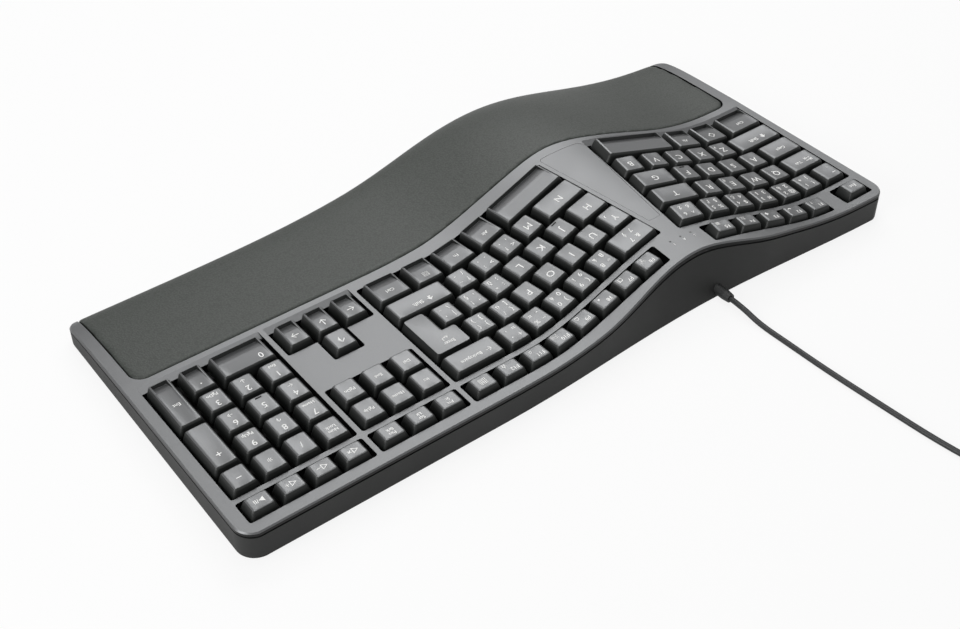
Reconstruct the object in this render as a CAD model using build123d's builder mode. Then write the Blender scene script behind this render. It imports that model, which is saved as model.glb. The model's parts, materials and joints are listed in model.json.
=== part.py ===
from build123d import *
import math
import os

# A full-size wired keyboard with a raised, split key field and a padded palm rest.
# The frame: +X to the typist's right, +Y to the back edge, +Z up, the table at Z = 0,
# the origin below the middle of the case. Millimetres.

os.makedirs("parts", exist_ok=True)

# Driving dimensions
key_pitch = 19.05
half_width = 239.0
side_taper = 1.7
back_edge = 119.2
front_edge = -95.0
corner_radius = 12.0
foot_height = 1.0
back_height = 19.3
deck_slope = 0.02
cover_wall = 2.6
case_wall = 2.8
case_floor = 2.0

# The raised middle of the deck
ridge_x = -85.0
ridge_reach = 125.0
ridge_rise = 18.1
ridge_fade = 0.00274
ridge_fade_y = 42.4

# Key rows, counted from the back row of the number pad
row_y = 82.3
pad_x = 163.4
nav_x = pad_x - 62.1
main_right_end = 87.2
main_left_end = -230.4
left_lift = 1.0
short_row_gap = 21.2

# Heights from the deck surface along the local normal
key_top = 3.9
cap_height = 8.2
travel = 3.0
cap_wall = 1.2
cap_gap = 0.95
side_lean = 2.5
depth_lean = 1.15
short_depth = 14.4
short_lean = 1.8
enter_plunger_shift = 4.8
roof_thickness = 1.6
plunger_side = 6.4
plunger_root = 1.0
plunger_end = -9.2
tray_floor = key_top - cap_height - travel - 1.3
tray_thickness = 1.1
dome_top = plunger_end - 0.05
dome_base = dome_top - travel - 0.35
membrane_top = dome_base - 0.15
membrane_thickness = 0.4
plate_top = membrane_top - membrane_thickness - 0.05
plate_thickness = 0.8
trim_recess_depth = 1.6
lens_places = [(-77.5, 85.9), (-85.7, 85.9), (-93.4, 86.4)]
lens_hole = 0.75
boss_radius = 3.0
pilot_radius = 1.3
sheet_end = 229.0
front_roll = 3.4
roll_start = 5.8
roll_reach = 4.0
roll_taper = 0.4
dome_base_radius = 4.4
dome_taper = 22
band_drop = 3.8
tongue_inset = 1.2
pillar_radius = 4.2
head_radius = 2.5
head_low = 1.6
head_top = 3.8
thread_radius = 1.25
rib_places = [(-85, 18), (-130, 42), (-40, 30), (-160, 30), (0, 45), (-110, 75)]
board_posts = [(-106, 84), (-64, 84), (-106, 100), (-64, 100)]
board_z = 7.0
board_thickness = 1.6
tilt_length = 21.0
tilt_half = 1.5
tilt_width = 32.0
tilt_roof = 5.4
tilt_roof_wall = 0.9
trunnion_radius = 1.2
boot_radius = 3.4
tie_width = 5.0

# Pockets for the keys, from the key centres to the edges of the openings
field_back_room = 9.8
field_front_room = 14.4
short_field_room = 8.0
arrow_back_room = 10.3
main_field_right = 88.0
main_field_left = -231.8
pad_left, pad_right = 152.9, 230.8
nav_left, nav_right = 90.9, 149.8
escape_right = -207.8
function_inner_right = -67.2
function_inner_left = -101.3
ramp_run = 4.4
ramp_depth = 2.0

# Palm rest: a skin on foam in a recess of the cover
palm_left, palm_right = -229.0, 229.7
nose_height, nose_lift = 6.0, 5.0
nose_round, nose_round_lift = 9.0, 6.0
rest_pull = 0.60
skin_thickness = 2.0
recess_depth = 5.0
recess_wall = 2.2
cover_low = 4.1

# Screws, feet and the lead
screw_places = [
    (-202.2, 104), (-86, 50), (120.35, 45), (-215, -50), (-140, -60), (-60, -75), (30, -66),
    (120, -55), (215, -50),
]
pillar_top = 6.0
rubber_places = [(-200, -78), (-76, -100), (60, -80), (200, -78), (-120, 99), (120, 106)]
tilt_x = 175.0
tilt_hinge_y = 104.0
tilt_hinge_z = 2.8
lead_x = -97.0
lead_z = 5.3
lead_diameter = 3.5
boot_end_y = 122.5


def bell(distance, reach):
    """A smooth bump: 1 at distance 0, falling to 0 at the reach and beyond."""
    if abs(distance) >= reach:
        return 0.0
    return (1 + math.cos(math.pi * distance / reach)) / 2


def ridge(x, y):
    """Rise of the deck over its flat ends, a little higher toward the palm rest."""
    return ridge_rise * bell(x - ridge_x, ridge_reach) * (1 - ridge_fade * (y - ridge_fade_y))


def deck_z(x, y):
    """Height of the grey deck."""
    return foot_height + back_height - deck_slope * (back_edge - y) + ridge(x, y)


def under_deck(x, y, depth):
    """Height of a point at a depth under the deck, measured square to it."""
    step = 0.5
    rise_x = (deck_z(x + step, y) - deck_z(x - step, y)) / (2 * step)
    rise_y = (deck_z(x, y + step) - deck_z(x, y - step)) / (2 * step)
    return deck_z(x, y) + depth * math.sqrt(1 + rise_x * rise_x + rise_y * rise_y)


def back_foot_y(x):
    """Where the back wall meets the table side of the case."""
    return back_edge - 6.7 * bell(x - ridge_x, 157)


def back_rim_y(x):
    """Where the back wall meets the deck: the wall leans forward behind the ridge."""
    reach = 88 if x > ridge_x else 55
    return back_foot_y(x) - 0.3 - 10.7 * bell(x - ridge_x, reach)


def front_y(x):
    """Foremost line of the palm rest."""
    spread = 110 if x > -76 else 102
    return front_edge - 24.2 * math.exp(-(((x + 76) / spread) ** 2))


def rest_y(x):
    """Line behind the palm rest where the flat deck ends."""
    return -19.0 - 14.5 * bell(x + 78, 130)


def side_x(y, inset=0.0):
    """Half width of the case, which narrows a little toward the user."""
    return half_width - side_taper * (back_edge - y) / (back_edge - front_edge) - inset


stations = [-241 + 482 * k / 42 for k in range(43)]


def row_line(x, right_bend, left_bend, left_slope):
    """How far a key row falls toward the user at x: straight arms with a soft bend each side."""
    soft = 9.0
    right = 0.147 * soft * math.log(1 + math.exp((right_bend - x) / soft))
    left = left_slope * soft * math.log(1 + math.exp((x - left_bend) / soft))
    return right if x > ridge_x else left


def main_row_y(row, x):
    """Centre line of row 0 (digits) to row 4 (space bars)."""
    lift = left_lift if x < ridge_x else 0.0
    return row_y + lift - row * key_pitch - row_line(x, 28.4, -172.6, 0.165)


def function_row_y(x):
    """Centre line of the short keys at the back."""
    lift = left_lift if x < ridge_x else 0.0
    return row_y + lift + short_row_gap - row_line(x, 27.0, -172.6, 0.165)


# Body shapes, as sections across the keyboard lofted from left to right


def palm_curve(x, drop, nose_inset):
    """Four control points (y, z) of the palm rest's round, from the flat deck to the nose."""
    y_rest = rest_y(x)
    y_nose = front_y(x) + nose_inset
    rise = bell(x - ridge_x, ridge_reach)
    z_nose = nose_height + nose_lift * rise
    z_rest = deck_z(x, y_rest) - drop
    pull = rest_pull * (y_rest - y_nose)
    slope = deck_z(x, y_rest) - deck_z(x, y_rest - 1) + deck_slope
    high = (y_nose, z_nose + nose_round + nose_round_lift * rise - drop * 0.6)
    return [(y_rest, z_rest), (y_rest - pull, z_rest - pull * slope), high, (y_nose, z_nose)]


def shell_section(x, drop, inset, nose_inset, low, back_extra=0.0):
    """One section of the case: back wall, flat deck, rounded palm rest, low front."""
    y_back_foot = back_foot_y(x) - inset + back_extra
    full_height = deck_z(x, back_rim_y(x)) - foot_height
    lean = (back_foot_y(x) - back_rim_y(x)) * (full_height - drop) / full_height
    y_back_rim = y_back_foot - lean
    palm = palm_curve(x, drop, nose_inset)
    rest, nose = palm[0], palm[3]
    low_front = (nose[0] + 2.0, low)
    with BuildSketch(Plane.YZ.offset(x)) as section:
        with BuildLine():
            Line((y_back_foot, low), (y_back_rim, deck_z(x, y_back_rim) - drop))
            Line((y_back_rim, deck_z(x, y_back_rim) - drop), rest)
            Bezier(*palm)
            Line(nose, low_front)
            Line(low_front, (y_back_foot, low))
        make_face()
    return section.sketch


def band_section(x, top, bottom, y_front, y_back):
    """One section of a sheet that follows the deck between two depths."""
    with BuildSketch(Plane.YZ.offset(x)) as section:
        with BuildLine():
            Polyline(
                (y_front, under_deck(x, y_front, bottom)),
                (y_back, under_deck(x, y_back, bottom)),
                (y_back, under_deck(x, y_back, top)),
                (y_front, under_deck(x, y_front, top)),
                close=True,
            )
        make_face()
    return section.sketch


def shell_body(drop, inset, nose_inset, low, back_extra=0.0):
    """A solid with the shape of the case, lowered and drawn in."""
    with BuildPart() as body:
        loft([shell_section(x, drop, inset, nose_inset, low, back_extra) for x in stations])
    return body.part


def sheet_body(top, bottom, y_front=-60.0, y_back=130.0, ends=(-241.0, 241.0)):
    """A solid sheet that follows the deck, top and bottom measured from its surface."""
    inner = [x for x in stations if ends[0] < x < ends[1]]
    with BuildPart() as body:
        loft([band_section(x, top, bottom, y_front, y_back) for x in [ends[0]] + inner + [ends[1]]])
    return body.part


def plan_prism(inset, low=-5.0, high=80.0, front_inset=None):
    """The case outline in plan, drawn in by an inset, as an upright block."""
    front_gap = inset - 0.15 if front_inset is None else front_inset
    half_front = side_x(front_edge, inset)
    half_back = side_x(back_edge, inset)
    back = back_edge - inset + 0.05
    front_xs = [-190, -150, -110, -76, -35, 15, 65, 120, 180]
    with BuildPart() as prism:
        with BuildSketch(Plane.XY.offset(low)):
            with BuildLine():
                right_front = (half_front, front_y(half_front) + front_gap)
                left_front = (-half_front, front_y(-half_front) + front_gap)
                front_points = [(x, front_y(x) + front_gap) for x in front_xs]
                Spline(left_front, *front_points, right_front)
                Line(right_front, (half_back, back))
                Line((half_back, back), (-half_back, back))
                Line((-half_back, back), left_front)
            outline = make_face()
            fillet(outline.vertices().filter_by(lambda v: abs(v.X) > 200), corner_radius - inset)
        extrude(amount=high - low)
    return prism.part


# Key places


def deck_frame(x, y, height, across):
    """A plane on the deck: x along the row, z along the deck's normal, height above the deck."""
    step = 0.5
    rise_x = (deck_z(x + step, y) - deck_z(x - step, y)) / (2 * step)
    rise_y = (deck_z(x, y + step) - deck_z(x, y - step)) / (2 * step)
    normal = Vector(-rise_x, -rise_y, 1).normalized()
    row_dir = Vector(1, across, rise_x + rise_y * across)
    origin = Vector(x, y, deck_z(x, y)) + normal * height
    return Plane(origin=origin, x_dir=row_dir, z_dir=normal)


def walk_row(line, start, direction, distance):
    """The place on a row, a distance along the deck's surface from its outer end."""
    x = start
    gone = 0.0
    step = 0.25
    while gone < distance:
        next_x = x + direction * step
        dy = line(next_x) - line(x)
        dz = deck_z(next_x, line(next_x)) - deck_z(x, line(x))
        gone += math.sqrt(step * step + dy * dy + dz * dz)
        x = next_x
    return x


def inner_x(direction, y):
    """Edge of the key field beside the ridge: the right one leans more than the left one."""
    if direction < 0:
        return -78.9 + 0.177 * (73.5 - y)
    return -90.8 - 0.088 * (74.4 - y)


def surface_length(line, start, direction):
    """Length of a row along the deck, from its outer end to the edge beside the ridge."""
    x = start
    gone = 0.0
    step = 0.25
    while (inner_x(direction, line(x)) - x) * direction > 0:
        next_x = x + direction * step
        dy = line(next_x) - line(x)
        dz = deck_z(next_x, line(next_x)) - deck_z(x, line(x))
        gone += math.sqrt(step * step + dy * dy + dz * dz)
        x = next_x
    return gone


def filled_row(line, start, direction, units):
    """The row's widths, with the last key as wide as the room that is left."""
    spare = 1.0 if direction < 0 else 1.6
    room = surface_length(line, start, direction) - spare + cap_gap / 2
    return units + [room / key_pitch - sum(units)]


def row_places(line, start, direction, units):
    """Planes for the keys of one row, from its outer end inward, one for each width in units."""
    places = []
    gone = 0.0
    for width in units:
        x = walk_row(line, start, direction, gone + width * key_pitch / 2)
        across = (line(x + 1) - line(x - 1)) / 2
        places.append(deck_frame(x, line(x), key_top, across))
        gone += width * key_pitch
    return places


def flat_place(x, y):
    """The plane of a key on a level part of the deck."""
    return deck_frame(x, y, key_top, 0.0)


# Keycaps: a hollow tapered cap on a square plunger


def cap_outline(width, depth, reach=0.0, taper=0.0):
    """A cap's plan: a rectangle, drawn out toward the user by a reach that narrows a little."""
    side = width / 2
    middle, front = -depth / 2, -depth / 2 - reach
    with BuildLine() as line:
        if reach:
            Polyline(
                (side, -middle), (-side, -middle), (-side, middle), (taper - side, front),
                (side - taper, front), (side, middle), close=True,
            )
        else:
            Polyline((side, -middle), (-side, -middle), (-side, middle), (side, middle), close=True)
    return line.line


def key_cap(place, units, depth_units=1.0, rolled=False, short=False):
    """One keycap. rolled: its front is longer and slopes down. short: the low row at the back."""
    width = units * key_pitch - cap_gap
    depth = depth_units * key_pitch - cap_gap
    lean_front = 0.35 if rolled else depth_lean
    lean_back = depth_lean
    if short:
        depth = short_depth
        lean_front = short_lean
        lean_back = short_lean
    reach = roll_reach if rolled else 0.0
    top_depth = depth - lean_front - lean_back
    top_shift = (lean_front - lean_back) / 2
    base = place.offset(-cap_height)
    roof = place.offset(-roof_thickness - front_roll + 0.2 if rolled else -roof_thickness)
    shrink = 2 * cap_wall
    with BuildPart() as cap:
        with BuildSketch(base):
            add(cap_outline(width, depth, reach, roll_taper))
            make_face()
        with BuildSketch(place):
            with Locations((0, top_shift)):
                add(cap_outline(width - 2 * side_lean, top_depth, reach, roll_taper))
                make_face()
        loft(ruled=True)
        if rolled:
            with BuildSketch(Plane(place.origin, x_dir=place.y_dir, z_dir=place.x_dir)):
                with BuildLine():
                    start = roll_start - depth / 2
                    end = -depth / 2 - reach
                    Polyline((end - 2, 2), (end - 2, -front_roll), (end, -front_roll), (start, 0),
                             (start, 2), close=True)
                make_face()
            extrude(amount=width, both=True, mode=Mode.SUBTRACT)
        with BuildSketch(base):
            add(cap_outline(width - shrink, depth - shrink, reach, roll_taper))
            make_face()
        with BuildSketch(roof):
            with Locations((0, top_shift)):
                add(cap_outline(width - 2 * side_lean - shrink, top_depth - shrink, reach, roll_taper))
                make_face()
        loft(ruled=True, mode=Mode.SUBTRACT)
        with BuildSketch(place.offset(-plunger_root)):
            Rectangle(plunger_side, plunger_side)
        extrude(amount=plunger_end - key_top + plunger_root)
    return cap.part


def enter_cap(place):
    """The tall L-shaped key: one and a half units wide at the back, one unit at the front."""
    upper = 1.5 * key_pitch - cap_gap
    lower = 1.0 * key_pitch - cap_gap
    back = key_pitch - cap_gap / 2
    middle = cap_gap / 2
    front = -key_pitch + cap_gap / 2
    right = 0.75 * key_pitch - cap_gap / 2

    def outline(x_in, y_in):
        with BuildLine() as line:
            Polyline(
                (right - x_in, back - y_in), (right - upper + x_in, back - y_in),
                (right - upper + x_in, middle + y_in), (right - lower + x_in, middle + y_in),
                (right - lower + x_in, front + y_in), (right - x_in, front + y_in), close=True,
            )
        return line

    with BuildPart() as cap:
        with BuildSketch(place.offset(-cap_height)):
            add(outline(0, 0).line)
            make_face()
        with BuildSketch(place):
            add(outline(side_lean, depth_lean).line)
            make_face()
        loft(ruled=True)
        with BuildSketch(place.offset(-cap_height)):
            add(outline(cap_wall, cap_wall).line)
            make_face()
        with BuildSketch(place.offset(-roof_thickness)):
            add(outline(side_lean + cap_wall, depth_lean + cap_wall).line)
            make_face()
        loft(ruled=True, mode=Mode.SUBTRACT)
        with BuildSketch(place.offset(-plunger_root)):
            with Locations((enter_plunger_shift, 0)):
                Rectangle(plunger_side, plunger_side)
        extrude(amount=plunger_end - key_top + plunger_root)
    return cap.part


# Where every key sits

right_rows = {
    "digits": [2, 1, 1, 1, 1, 1],
    "top": [1.5, 1, 1, 1, 1, 1, 1],
    "home": [1, 1, 1, 1, 1, 1, 1],
    "lower": [2.33, 1, 1, 1, 1],
    "space": [1.44, 1.24, 1.33, 1.28],
}
left_rows = {
    "digits": [1.05, 1.03, 1.03, 1.03, 1.03, 1.03],
    "top": [1.55, 1, 1, 1, 1],
    "home": [1.6, 1, 1, 1, 1],
    "lower": [2.1, 1, 1, 1, 1],
    "space": [1.6, 1.25, 1.25],
}
right_places = {}
left_places = {}
right_widths = {}
left_widths = {}
for number, row in enumerate(right_rows):
    line = lambda x, number=number: main_row_y(number, x)
    right_widths[row] = filled_row(line, main_right_end, -1, right_rows[row])
    right_places[row] = row_places(line, main_right_end, -1, right_widths[row])
    left_widths[row] = filled_row(line, main_left_end, 1, left_rows[row])
    left_places[row] = row_places(line, main_left_end, 1, left_widths[row])
function_left_start = -196.3
function_right = row_places(function_row_y, main_right_end, -1, [1] * 8)
function_left = row_places(function_row_y, function_left_start, 1, [1] * 5)
escape_place = flat_place(main_left_end + key_pitch / 2, row_y + left_lift + short_row_gap)
enter_place = flat_place(main_right_end - 0.75 * key_pitch, row_y - 1.5 * key_pitch)
media_y = row_y + 21.0


def pad_place(column, row):
    """A key of the number pad, counted from its back left corner."""
    return flat_place(pad_x + column * key_pitch, row_y - row * key_pitch)


def nav_place(column, row):
    """A key of the block between the letters and the number pad."""
    return flat_place(nav_x + column * key_pitch, row_y - row * key_pitch)


# The keys, one list of solids for each sub-part


def plain_caps(places, widths, rolled=False, short=False):
    """Keycaps for some places of a row, with their widths in units."""
    return [key_cap(place, width, rolled=rolled, short=short) for place, width in zip(places, widths)]


def row_caps(side, row, first, last):
    """Keycaps number first to last of a row, counted from its outer end."""
    places = (right_places if side == "right" else left_places)[row]
    widths = (right_widths if side == "right" else left_widths)[row]
    rolled = row == "space"
    return plain_caps(places[first:last + 1], widths[first:last + 1], rolled=rolled)


three = [1, 1, 1]
nav_pairs = [nav_place(c, r) for r in range(2) for c in range(3)]
print_places = [flat_place(nav_x + c * key_pitch, media_y) for c in range(3)]
media_places = [flat_place(pad_x + c * key_pitch, media_y) for c in range(4)]
keys = {
    "function_keys_right": plain_caps(function_right, [1] * 8, short=True),
    "function_keys_left": plain_caps(function_left, [1] * 5, short=True),
    "esc_key": plain_caps([escape_place], [1], short=True),
    "backspace_key": row_caps("right", "digits", 0, 0),
    "number_keys_right": row_caps("right", "digits", 1, 6),
    "number_keys_left": row_caps("left", "digits", 0, 6),
    "enter_key": [enter_cap(enter_place)],
    "top_letters_right": row_caps("right", "top", 1, 7),
    "tab_key": row_caps("left", "top", 0, 0),
    "top_letters_left": row_caps("left", "top", 1, 5),
    "home_letters_right": row_caps("right", "home", 1, 7),
    "caps_key": row_caps("left", "home", 0, 0),
    "home_letters_left": row_caps("left", "home", 1, 5),
    "shift_key_right": row_caps("right", "lower", 0, 0),
    "lower_letters_right": row_caps("right", "lower", 1, 5),
    "shift_key_left": row_caps("left", "lower", 0, 0),
    "lower_letters_left": row_caps("left", "lower", 1, 5),
    "ctrl_key_right": row_caps("right", "space", 0, 0),
    "fn_menu_keys": row_caps("right", "space", 1, 2),
    "alt_key_right": row_caps("right", "space", 3, 3),
    "space_key_right": row_caps("right", "space", 4, 4),
    "ctrl_key_left": row_caps("left", "space", 0, 0),
    "system_key": row_caps("left", "space", 1, 1),
    "alt_key_left": row_caps("left", "space", 2, 2),
    "space_key_left": row_caps("left", "space", 3, 3),
    "nav_keys": plain_caps(nav_pairs, three + three),
    "print_keys": plain_caps(print_places, three, short=True),
    "media_keys": plain_caps(media_places, [1] * 4, short=True),
    "numpad_top_row": plain_caps([pad_place(c, 0) for c in range(4)], [1] * 4),
    "numpad_row_789": plain_caps([pad_place(c, 1) for c in range(3)], three),
    "numpad_row_456": plain_caps([pad_place(c, 2) for c in range(3)], three),
    "numpad_row_123": plain_caps([pad_place(c, 3) for c in range(3)], three),
    "numpad_plus_key": [key_cap(pad_place(3, 1.5), 1, depth_units=2)],
    "numpad_enter_key": [key_cap(pad_place(3, 3.5), 1, depth_units=2, rolled=True)],
    "numpad_zero_key": [key_cap(pad_place(0.5, 4), 2, rolled=True)],
    "numpad_point_key": [key_cap(pad_place(2, 4), 1, rolled=True)],
    "arrow_up_key": [key_cap(nav_place(1, 3), 1)],
    "arrow_left_key": [key_cap(nav_place(0, 4), 1, rolled=True)],
    "arrow_down_key": [key_cap(nav_place(1, 4), 1, rolled=True)],
    "arrow_right_key": [key_cap(nav_place(2, 4), 1, rolled=True)],
}
for name, caps in keys.items():
    with BuildPart() as key_bank:
        add(caps)
    key_bank.part.label = name
    export_step(key_bank.part, f"parts/{name}.step")

# One plunger under each key: the tall Enter key has its own a little off the middle
plunger_places = function_right + function_left + [escape_place]
for row in right_rows:
    first = 1 if row in ("top", "home") else 0
    plunger_places += right_places[row][first:] + left_places[row]
enter_plunger = enter_place.from_local_coords(Vector(enter_plunger_shift, 0, 0))
plunger_places += [enter_place.shift_origin(enter_plunger)]
plunger_places += nav_pairs + print_places + media_places
plunger_places += [pad_place(c, 0) for c in range(4)]
plunger_places += [pad_place(c, r) for r in range(1, 4) for c in range(3)]
plunger_places += [pad_place(3, 1.5), pad_place(3, 3.5), pad_place(0.5, 4), pad_place(2, 4)]
plunger_places += [nav_place(1, 3)] + [nav_place(c, 4) for c in range(3)]

# Plan shapes of the key fields, grown or shrunk by a gap


def box_prism(x_low, x_high, y_low, y_high, grow=0.0, low=-5.0, high=60.0, corner=1.6):
    """An upright block with rounded corners."""
    with BuildPart() as prism:
        with BuildSketch(Plane.XY.offset(low)):
            with Locations(((x_low + x_high) / 2, (y_low + y_high) / 2)):
                RectangleRounded(x_high - x_low + 2 * grow, y_high - y_low + 2 * grow, corner + grow)
        extrude(amount=high - low)
    return prism.part


def field_prism(x_left, x_right, y_back, y_front, grow=0.0, corner=1.6):
    """An upright block between two curved rows; every side is a function of the other axis."""
    back = lambda x: y_back(x) + grow
    front = lambda x: y_front(x) - grow
    left = lambda y: x_left(y) - grow
    right = lambda y: x_right(y) + grow

    def meet(side, row):
        """The corner where a side line crosses a row line."""
        x = side(40)
        for _ in range(12):
            x = side(row(x))
        return (x, row(x))

    corners = [meet(left, back), meet(right, back), meet(right, front), meet(left, front)]
    spans = 9
    back_run = [corners[0][0] + (corners[1][0] - corners[0][0]) * k / spans for k in range(1, spans)]
    front_run = [corners[2][0] + (corners[3][0] - corners[2][0]) * k / spans for k in range(1, spans)]
    with BuildPart() as prism:
        with BuildSketch(Plane.XY.offset(-5)):
            with BuildLine():
                Spline(corners[0], *[(x, back(x)) for x in back_run], corners[1])
                Line(corners[1], corners[2])
                Spline(corners[2], *[(x, front(x)) for x in front_run], corners[3])
                Line(corners[3], corners[0])
            outline = make_face()
            fillet(outline.vertices(), corner + max(grow, -1.0))
        extrude(amount=65)
    return prism.part


def key_field_back(x):
    """Back edge of the letter pockets; the next functions give their other edges."""
    return main_row_y(0, x) + field_back_room


def key_field_front(x):
    return main_row_y(4, x) - field_front_room


def function_field_back(x):
    return function_row_y(x) + short_field_room


def function_field_front(x):
    return function_row_y(x) - short_field_room


def left_inner_x(y):
    return inner_x(1, y)


def right_inner_x(y):
    return inner_x(-1, y)


def field_pockets(grow, front=key_field_front):
    """The two pockets of the letter keys. A front line further out takes the ramps in too."""
    right = field_prism(right_inner_x, lambda y: main_field_right, key_field_back, front, grow)
    left = field_prism(lambda y: main_field_left, left_inner_x, key_field_back, front, grow)
    return [right, left]


def block_pockets(grow, reach=0.0):
    """The straight-sided pockets. A reach lengthens the ones with a ramp toward the user."""
    number_low = key_field_front(pad_x) - reach
    media_low = media_y - short_field_room
    media_high = media_y + short_field_room
    number_back = row_y + field_back_room
    escape_low = media_low + left_lift + 0.2
    escape_high = media_high + left_lift + 0.2
    arrow_back = row_y - 4 * key_pitch + arrow_back_room
    up_back = row_y - 3 * key_pitch + arrow_back_room
    up_left = nav_x + key_pitch / 2 - 0.8
    up_right = nav_x + 1.5 * key_pitch + 0.8
    return {
        "number": box_prism(pad_left, pad_right, number_low, number_back, grow),
        "media": box_prism(pad_left, pad_right, media_low, media_high, grow),
        "print": box_prism(nav_left, nav_right, media_low, media_high, grow),
        "nav": box_prism(nav_left, nav_right, row_y - key_pitch - 10.0, number_back, grow),
        "arrows": box_prism(nav_left, nav_right, number_low, arrow_back, grow),
        "up": box_prism(up_left, up_right, arrow_back - 8, up_back, grow),
        "escape": box_prism(main_field_left, escape_right, escape_low, escape_high, grow),
    }


def function_pockets(grow):
    """The curved pockets of the short keys."""
    right = field_prism(
        lambda y: function_inner_right, lambda y: main_field_right,
        function_field_back, function_field_front, grow,
    )
    left = field_prism(
        lambda y: function_left_start - 0.3, lambda y: function_inner_left,
        function_field_back, function_field_front, grow,
    )
    return [right, left]


def all_pockets(grow):
    return field_pockets(grow) + list(block_pockets(grow).values()) + function_pockets(grow)


def ribbon(profile, x_start, x_end):
    """A solid whose section at x is a polygon of (y, height over the deck) points."""
    spans = math.ceil((x_end - x_start) / 9.0)
    with BuildPart() as body:
        for k in range(spans + 1):
            x = x_start + (x_end - x_start) * k / spans
            with BuildSketch(Plane.YZ.offset(x)):
                with BuildLine():
                    Polyline(*[(y, under_deck(x, y, height)) for y, height in profile(x)], close=True)
                make_face()
        loft()
    return body.part


def under_ramps(profile):
    """The same ribbon under the left letters, the right letters and the straight pockets."""
    return [
        ribbon(profile, main_field_left - 1.5, left_inner_x(-10) + 4),
        ribbon(profile, right_inner_x(-10) - 4, 226.0 + 5.5),
    ]


# The palm rest


def palm_back_points(gap):
    """The seam behind the pad: level at both ends, with a soft point behind the ridge."""
    seam = [
        (-177, -16.9), (-157, -17.9), (-137, -20.8), (-117, -24.0), (-97, -28.0), (-76, -31.0),
        (-57, -30.0), (-37, -27.6), (-17, -25.4), (3, -23.0), (23, -20.4), (43, -18.2), (64, -17.0),
    ]
    return [(x, y - gap) for x, y in seam]


def palm_prism(gap):
    """The pad's outline in plan, open toward the user, drawn in by a gap."""
    left = palm_left + gap
    right = palm_right - gap
    ends_y = -16.8 - gap
    with BuildPart() as prism:
        with BuildSketch(Plane.XY.offset(-5)):
            with BuildLine():
                Line((left, -135), (left, ends_y))
                Line((left, ends_y), (-195, ends_y))
                Spline((-195, ends_y), *palm_back_points(gap), (90, ends_y), tangents=((1, 0), (1, 0)))
                Line((90, ends_y), (right, ends_y))
                Line((right, ends_y), (right, -135))
                Line((right, -135), (left, -135))
            outline = make_face()
            fillet(outline.vertices().filter_by(lambda v: abs(v.X) > 200 and v.Y > -50), 9.0 - gap)
        extrude(amount=65)
    return prism.part


def palm_z(x, y, drop=0.0):
    """Height of the deck or of the palm rest at a place, or of a shell that lies deeper."""
    palm = palm_curve(x, drop, drop)
    if y >= palm[0][0]:
        return deck_z(x, y) - drop
    near, far = 0.0, 1.0
    for _ in range(30):
        t = (near + far) / 2
        weights = ((1 - t) ** 3, 3 * t * (1 - t) ** 2, 3 * t * t * (1 - t), t ** 3)
        if sum(w * point[0] for w, point in zip(weights, palm)) > y:
            near = t
        else:
            far = t
    return sum(w * point[1] for w, point in zip(weights, palm))


# The grey top cover


def block_above(z):
    """Everything over a height, to cut with."""
    return box_prism(-300, 300, -200, 200, low=z, high=z + 90)


def block_below(z):
    """Everything under a height, to cut with."""
    return box_prism(-300, 300, -200, 200, low=z - 40, high=z)


def ramp_cut(x):
    """Section of the slope from the deck down to the lower edge of the front keys."""
    front = key_field_front(x)
    back = front + 1
    outer = front - ramp_run
    return [(outer, 0), (front, -ramp_depth), (back, -ramp_depth), (back, 5), (outer, 5)]


def ramp_block(x):
    """Section of the material under that slope."""
    front = key_field_front(x)
    return [(front - 7, -1.5), (front - 0.4, -1.5), (front - 0.4, -6.0), (front - 7, -4.0)]


def ramp_room(x):
    """Section of the room that the frame leaves for that material."""
    front = key_field_front(x)
    return [(front - 8, 5), (front + 0.35, 5), (front + 0.35, -6.4), (front - 8, -4.4)]


under_recess = recess_depth + recess_wall


def screw_ceiling(x, y):
    """Height of the cover's inner face over a screw."""
    if y < -40:
        return palm_z(x, y, under_recess)
    return deck_z(x, y) - cover_wall


def screw_tip(x, y):
    """Height of a screw's point: inside its boss, and never through the cover."""
    return min(14.0, screw_ceiling(x, y) + 1.2)


def posts(places, radius, low, top):
    """Upright round posts; top gives each one's height over the table from its place."""
    with BuildPart() as group:
        for x, y in places:
            with BuildSketch(Plane.XY.offset(low)):
                with Locations((x, y)):
                    Circle(radius)
            extrude(amount=top(x, y) - low)
    return group.part


trim_corners = [(-80.5, 63.9), (-89.7, 63.5), (-99.2, -19.0), (-95.5, -23.3), (-64.2, -24.6)]


def trim_prism(gap):
    """The long inlay on the ridge, narrow at the back, drawn in by a gap."""
    with BuildPart() as prism:
        with BuildSketch(Plane.XY.offset(-5)):
            with BuildLine():
                Polyline(*trim_corners, close=True)
            outline = make_face()
            fillet(outline.vertices().sort_by(Axis.Y)[:3], 2.4)
            if gap:
                offset(amount=-gap, mode=Mode.REPLACE)
        extrude(amount=65)
    return prism.part


def is_rim(edge):
    """True for the outer upper edge of the cover behind the palm rest and along both sides."""
    middle = edge @ 0.5
    at_outline = middle.Y > 100 or abs(middle.X) > side_x(middle.Y) - 0.6
    return at_outline and abs(middle.Z - palm_z(middle.X, middle.Y)) < 0.4


outline_block = plan_prism(0, front_inset=-0.6)
with BuildPart() as outer_shell:
    add(shell_body(0, 0, 0, foot_height))
    add(outline_block, mode=Mode.INTERSECT)
    add(block_below(cover_low), mode=Mode.SUBTRACT)
    chamfer(outer_shell.edges().filter_by(is_rim), 0.8)

with BuildPart() as under_cover:
    add(shell_body(cover_wall, 0, cover_wall, 0, back_extra=10))
    add(palm_prism(-2.4), mode=Mode.SUBTRACT)

with BuildPart() as palm_recess:
    add(palm_prism(0))
    add(shell_body(recess_depth, 0, recess_depth, 0), mode=Mode.SUBTRACT)


def ramp_reach(x):
    return key_field_front(x) - ramp_run - 0.5


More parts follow.
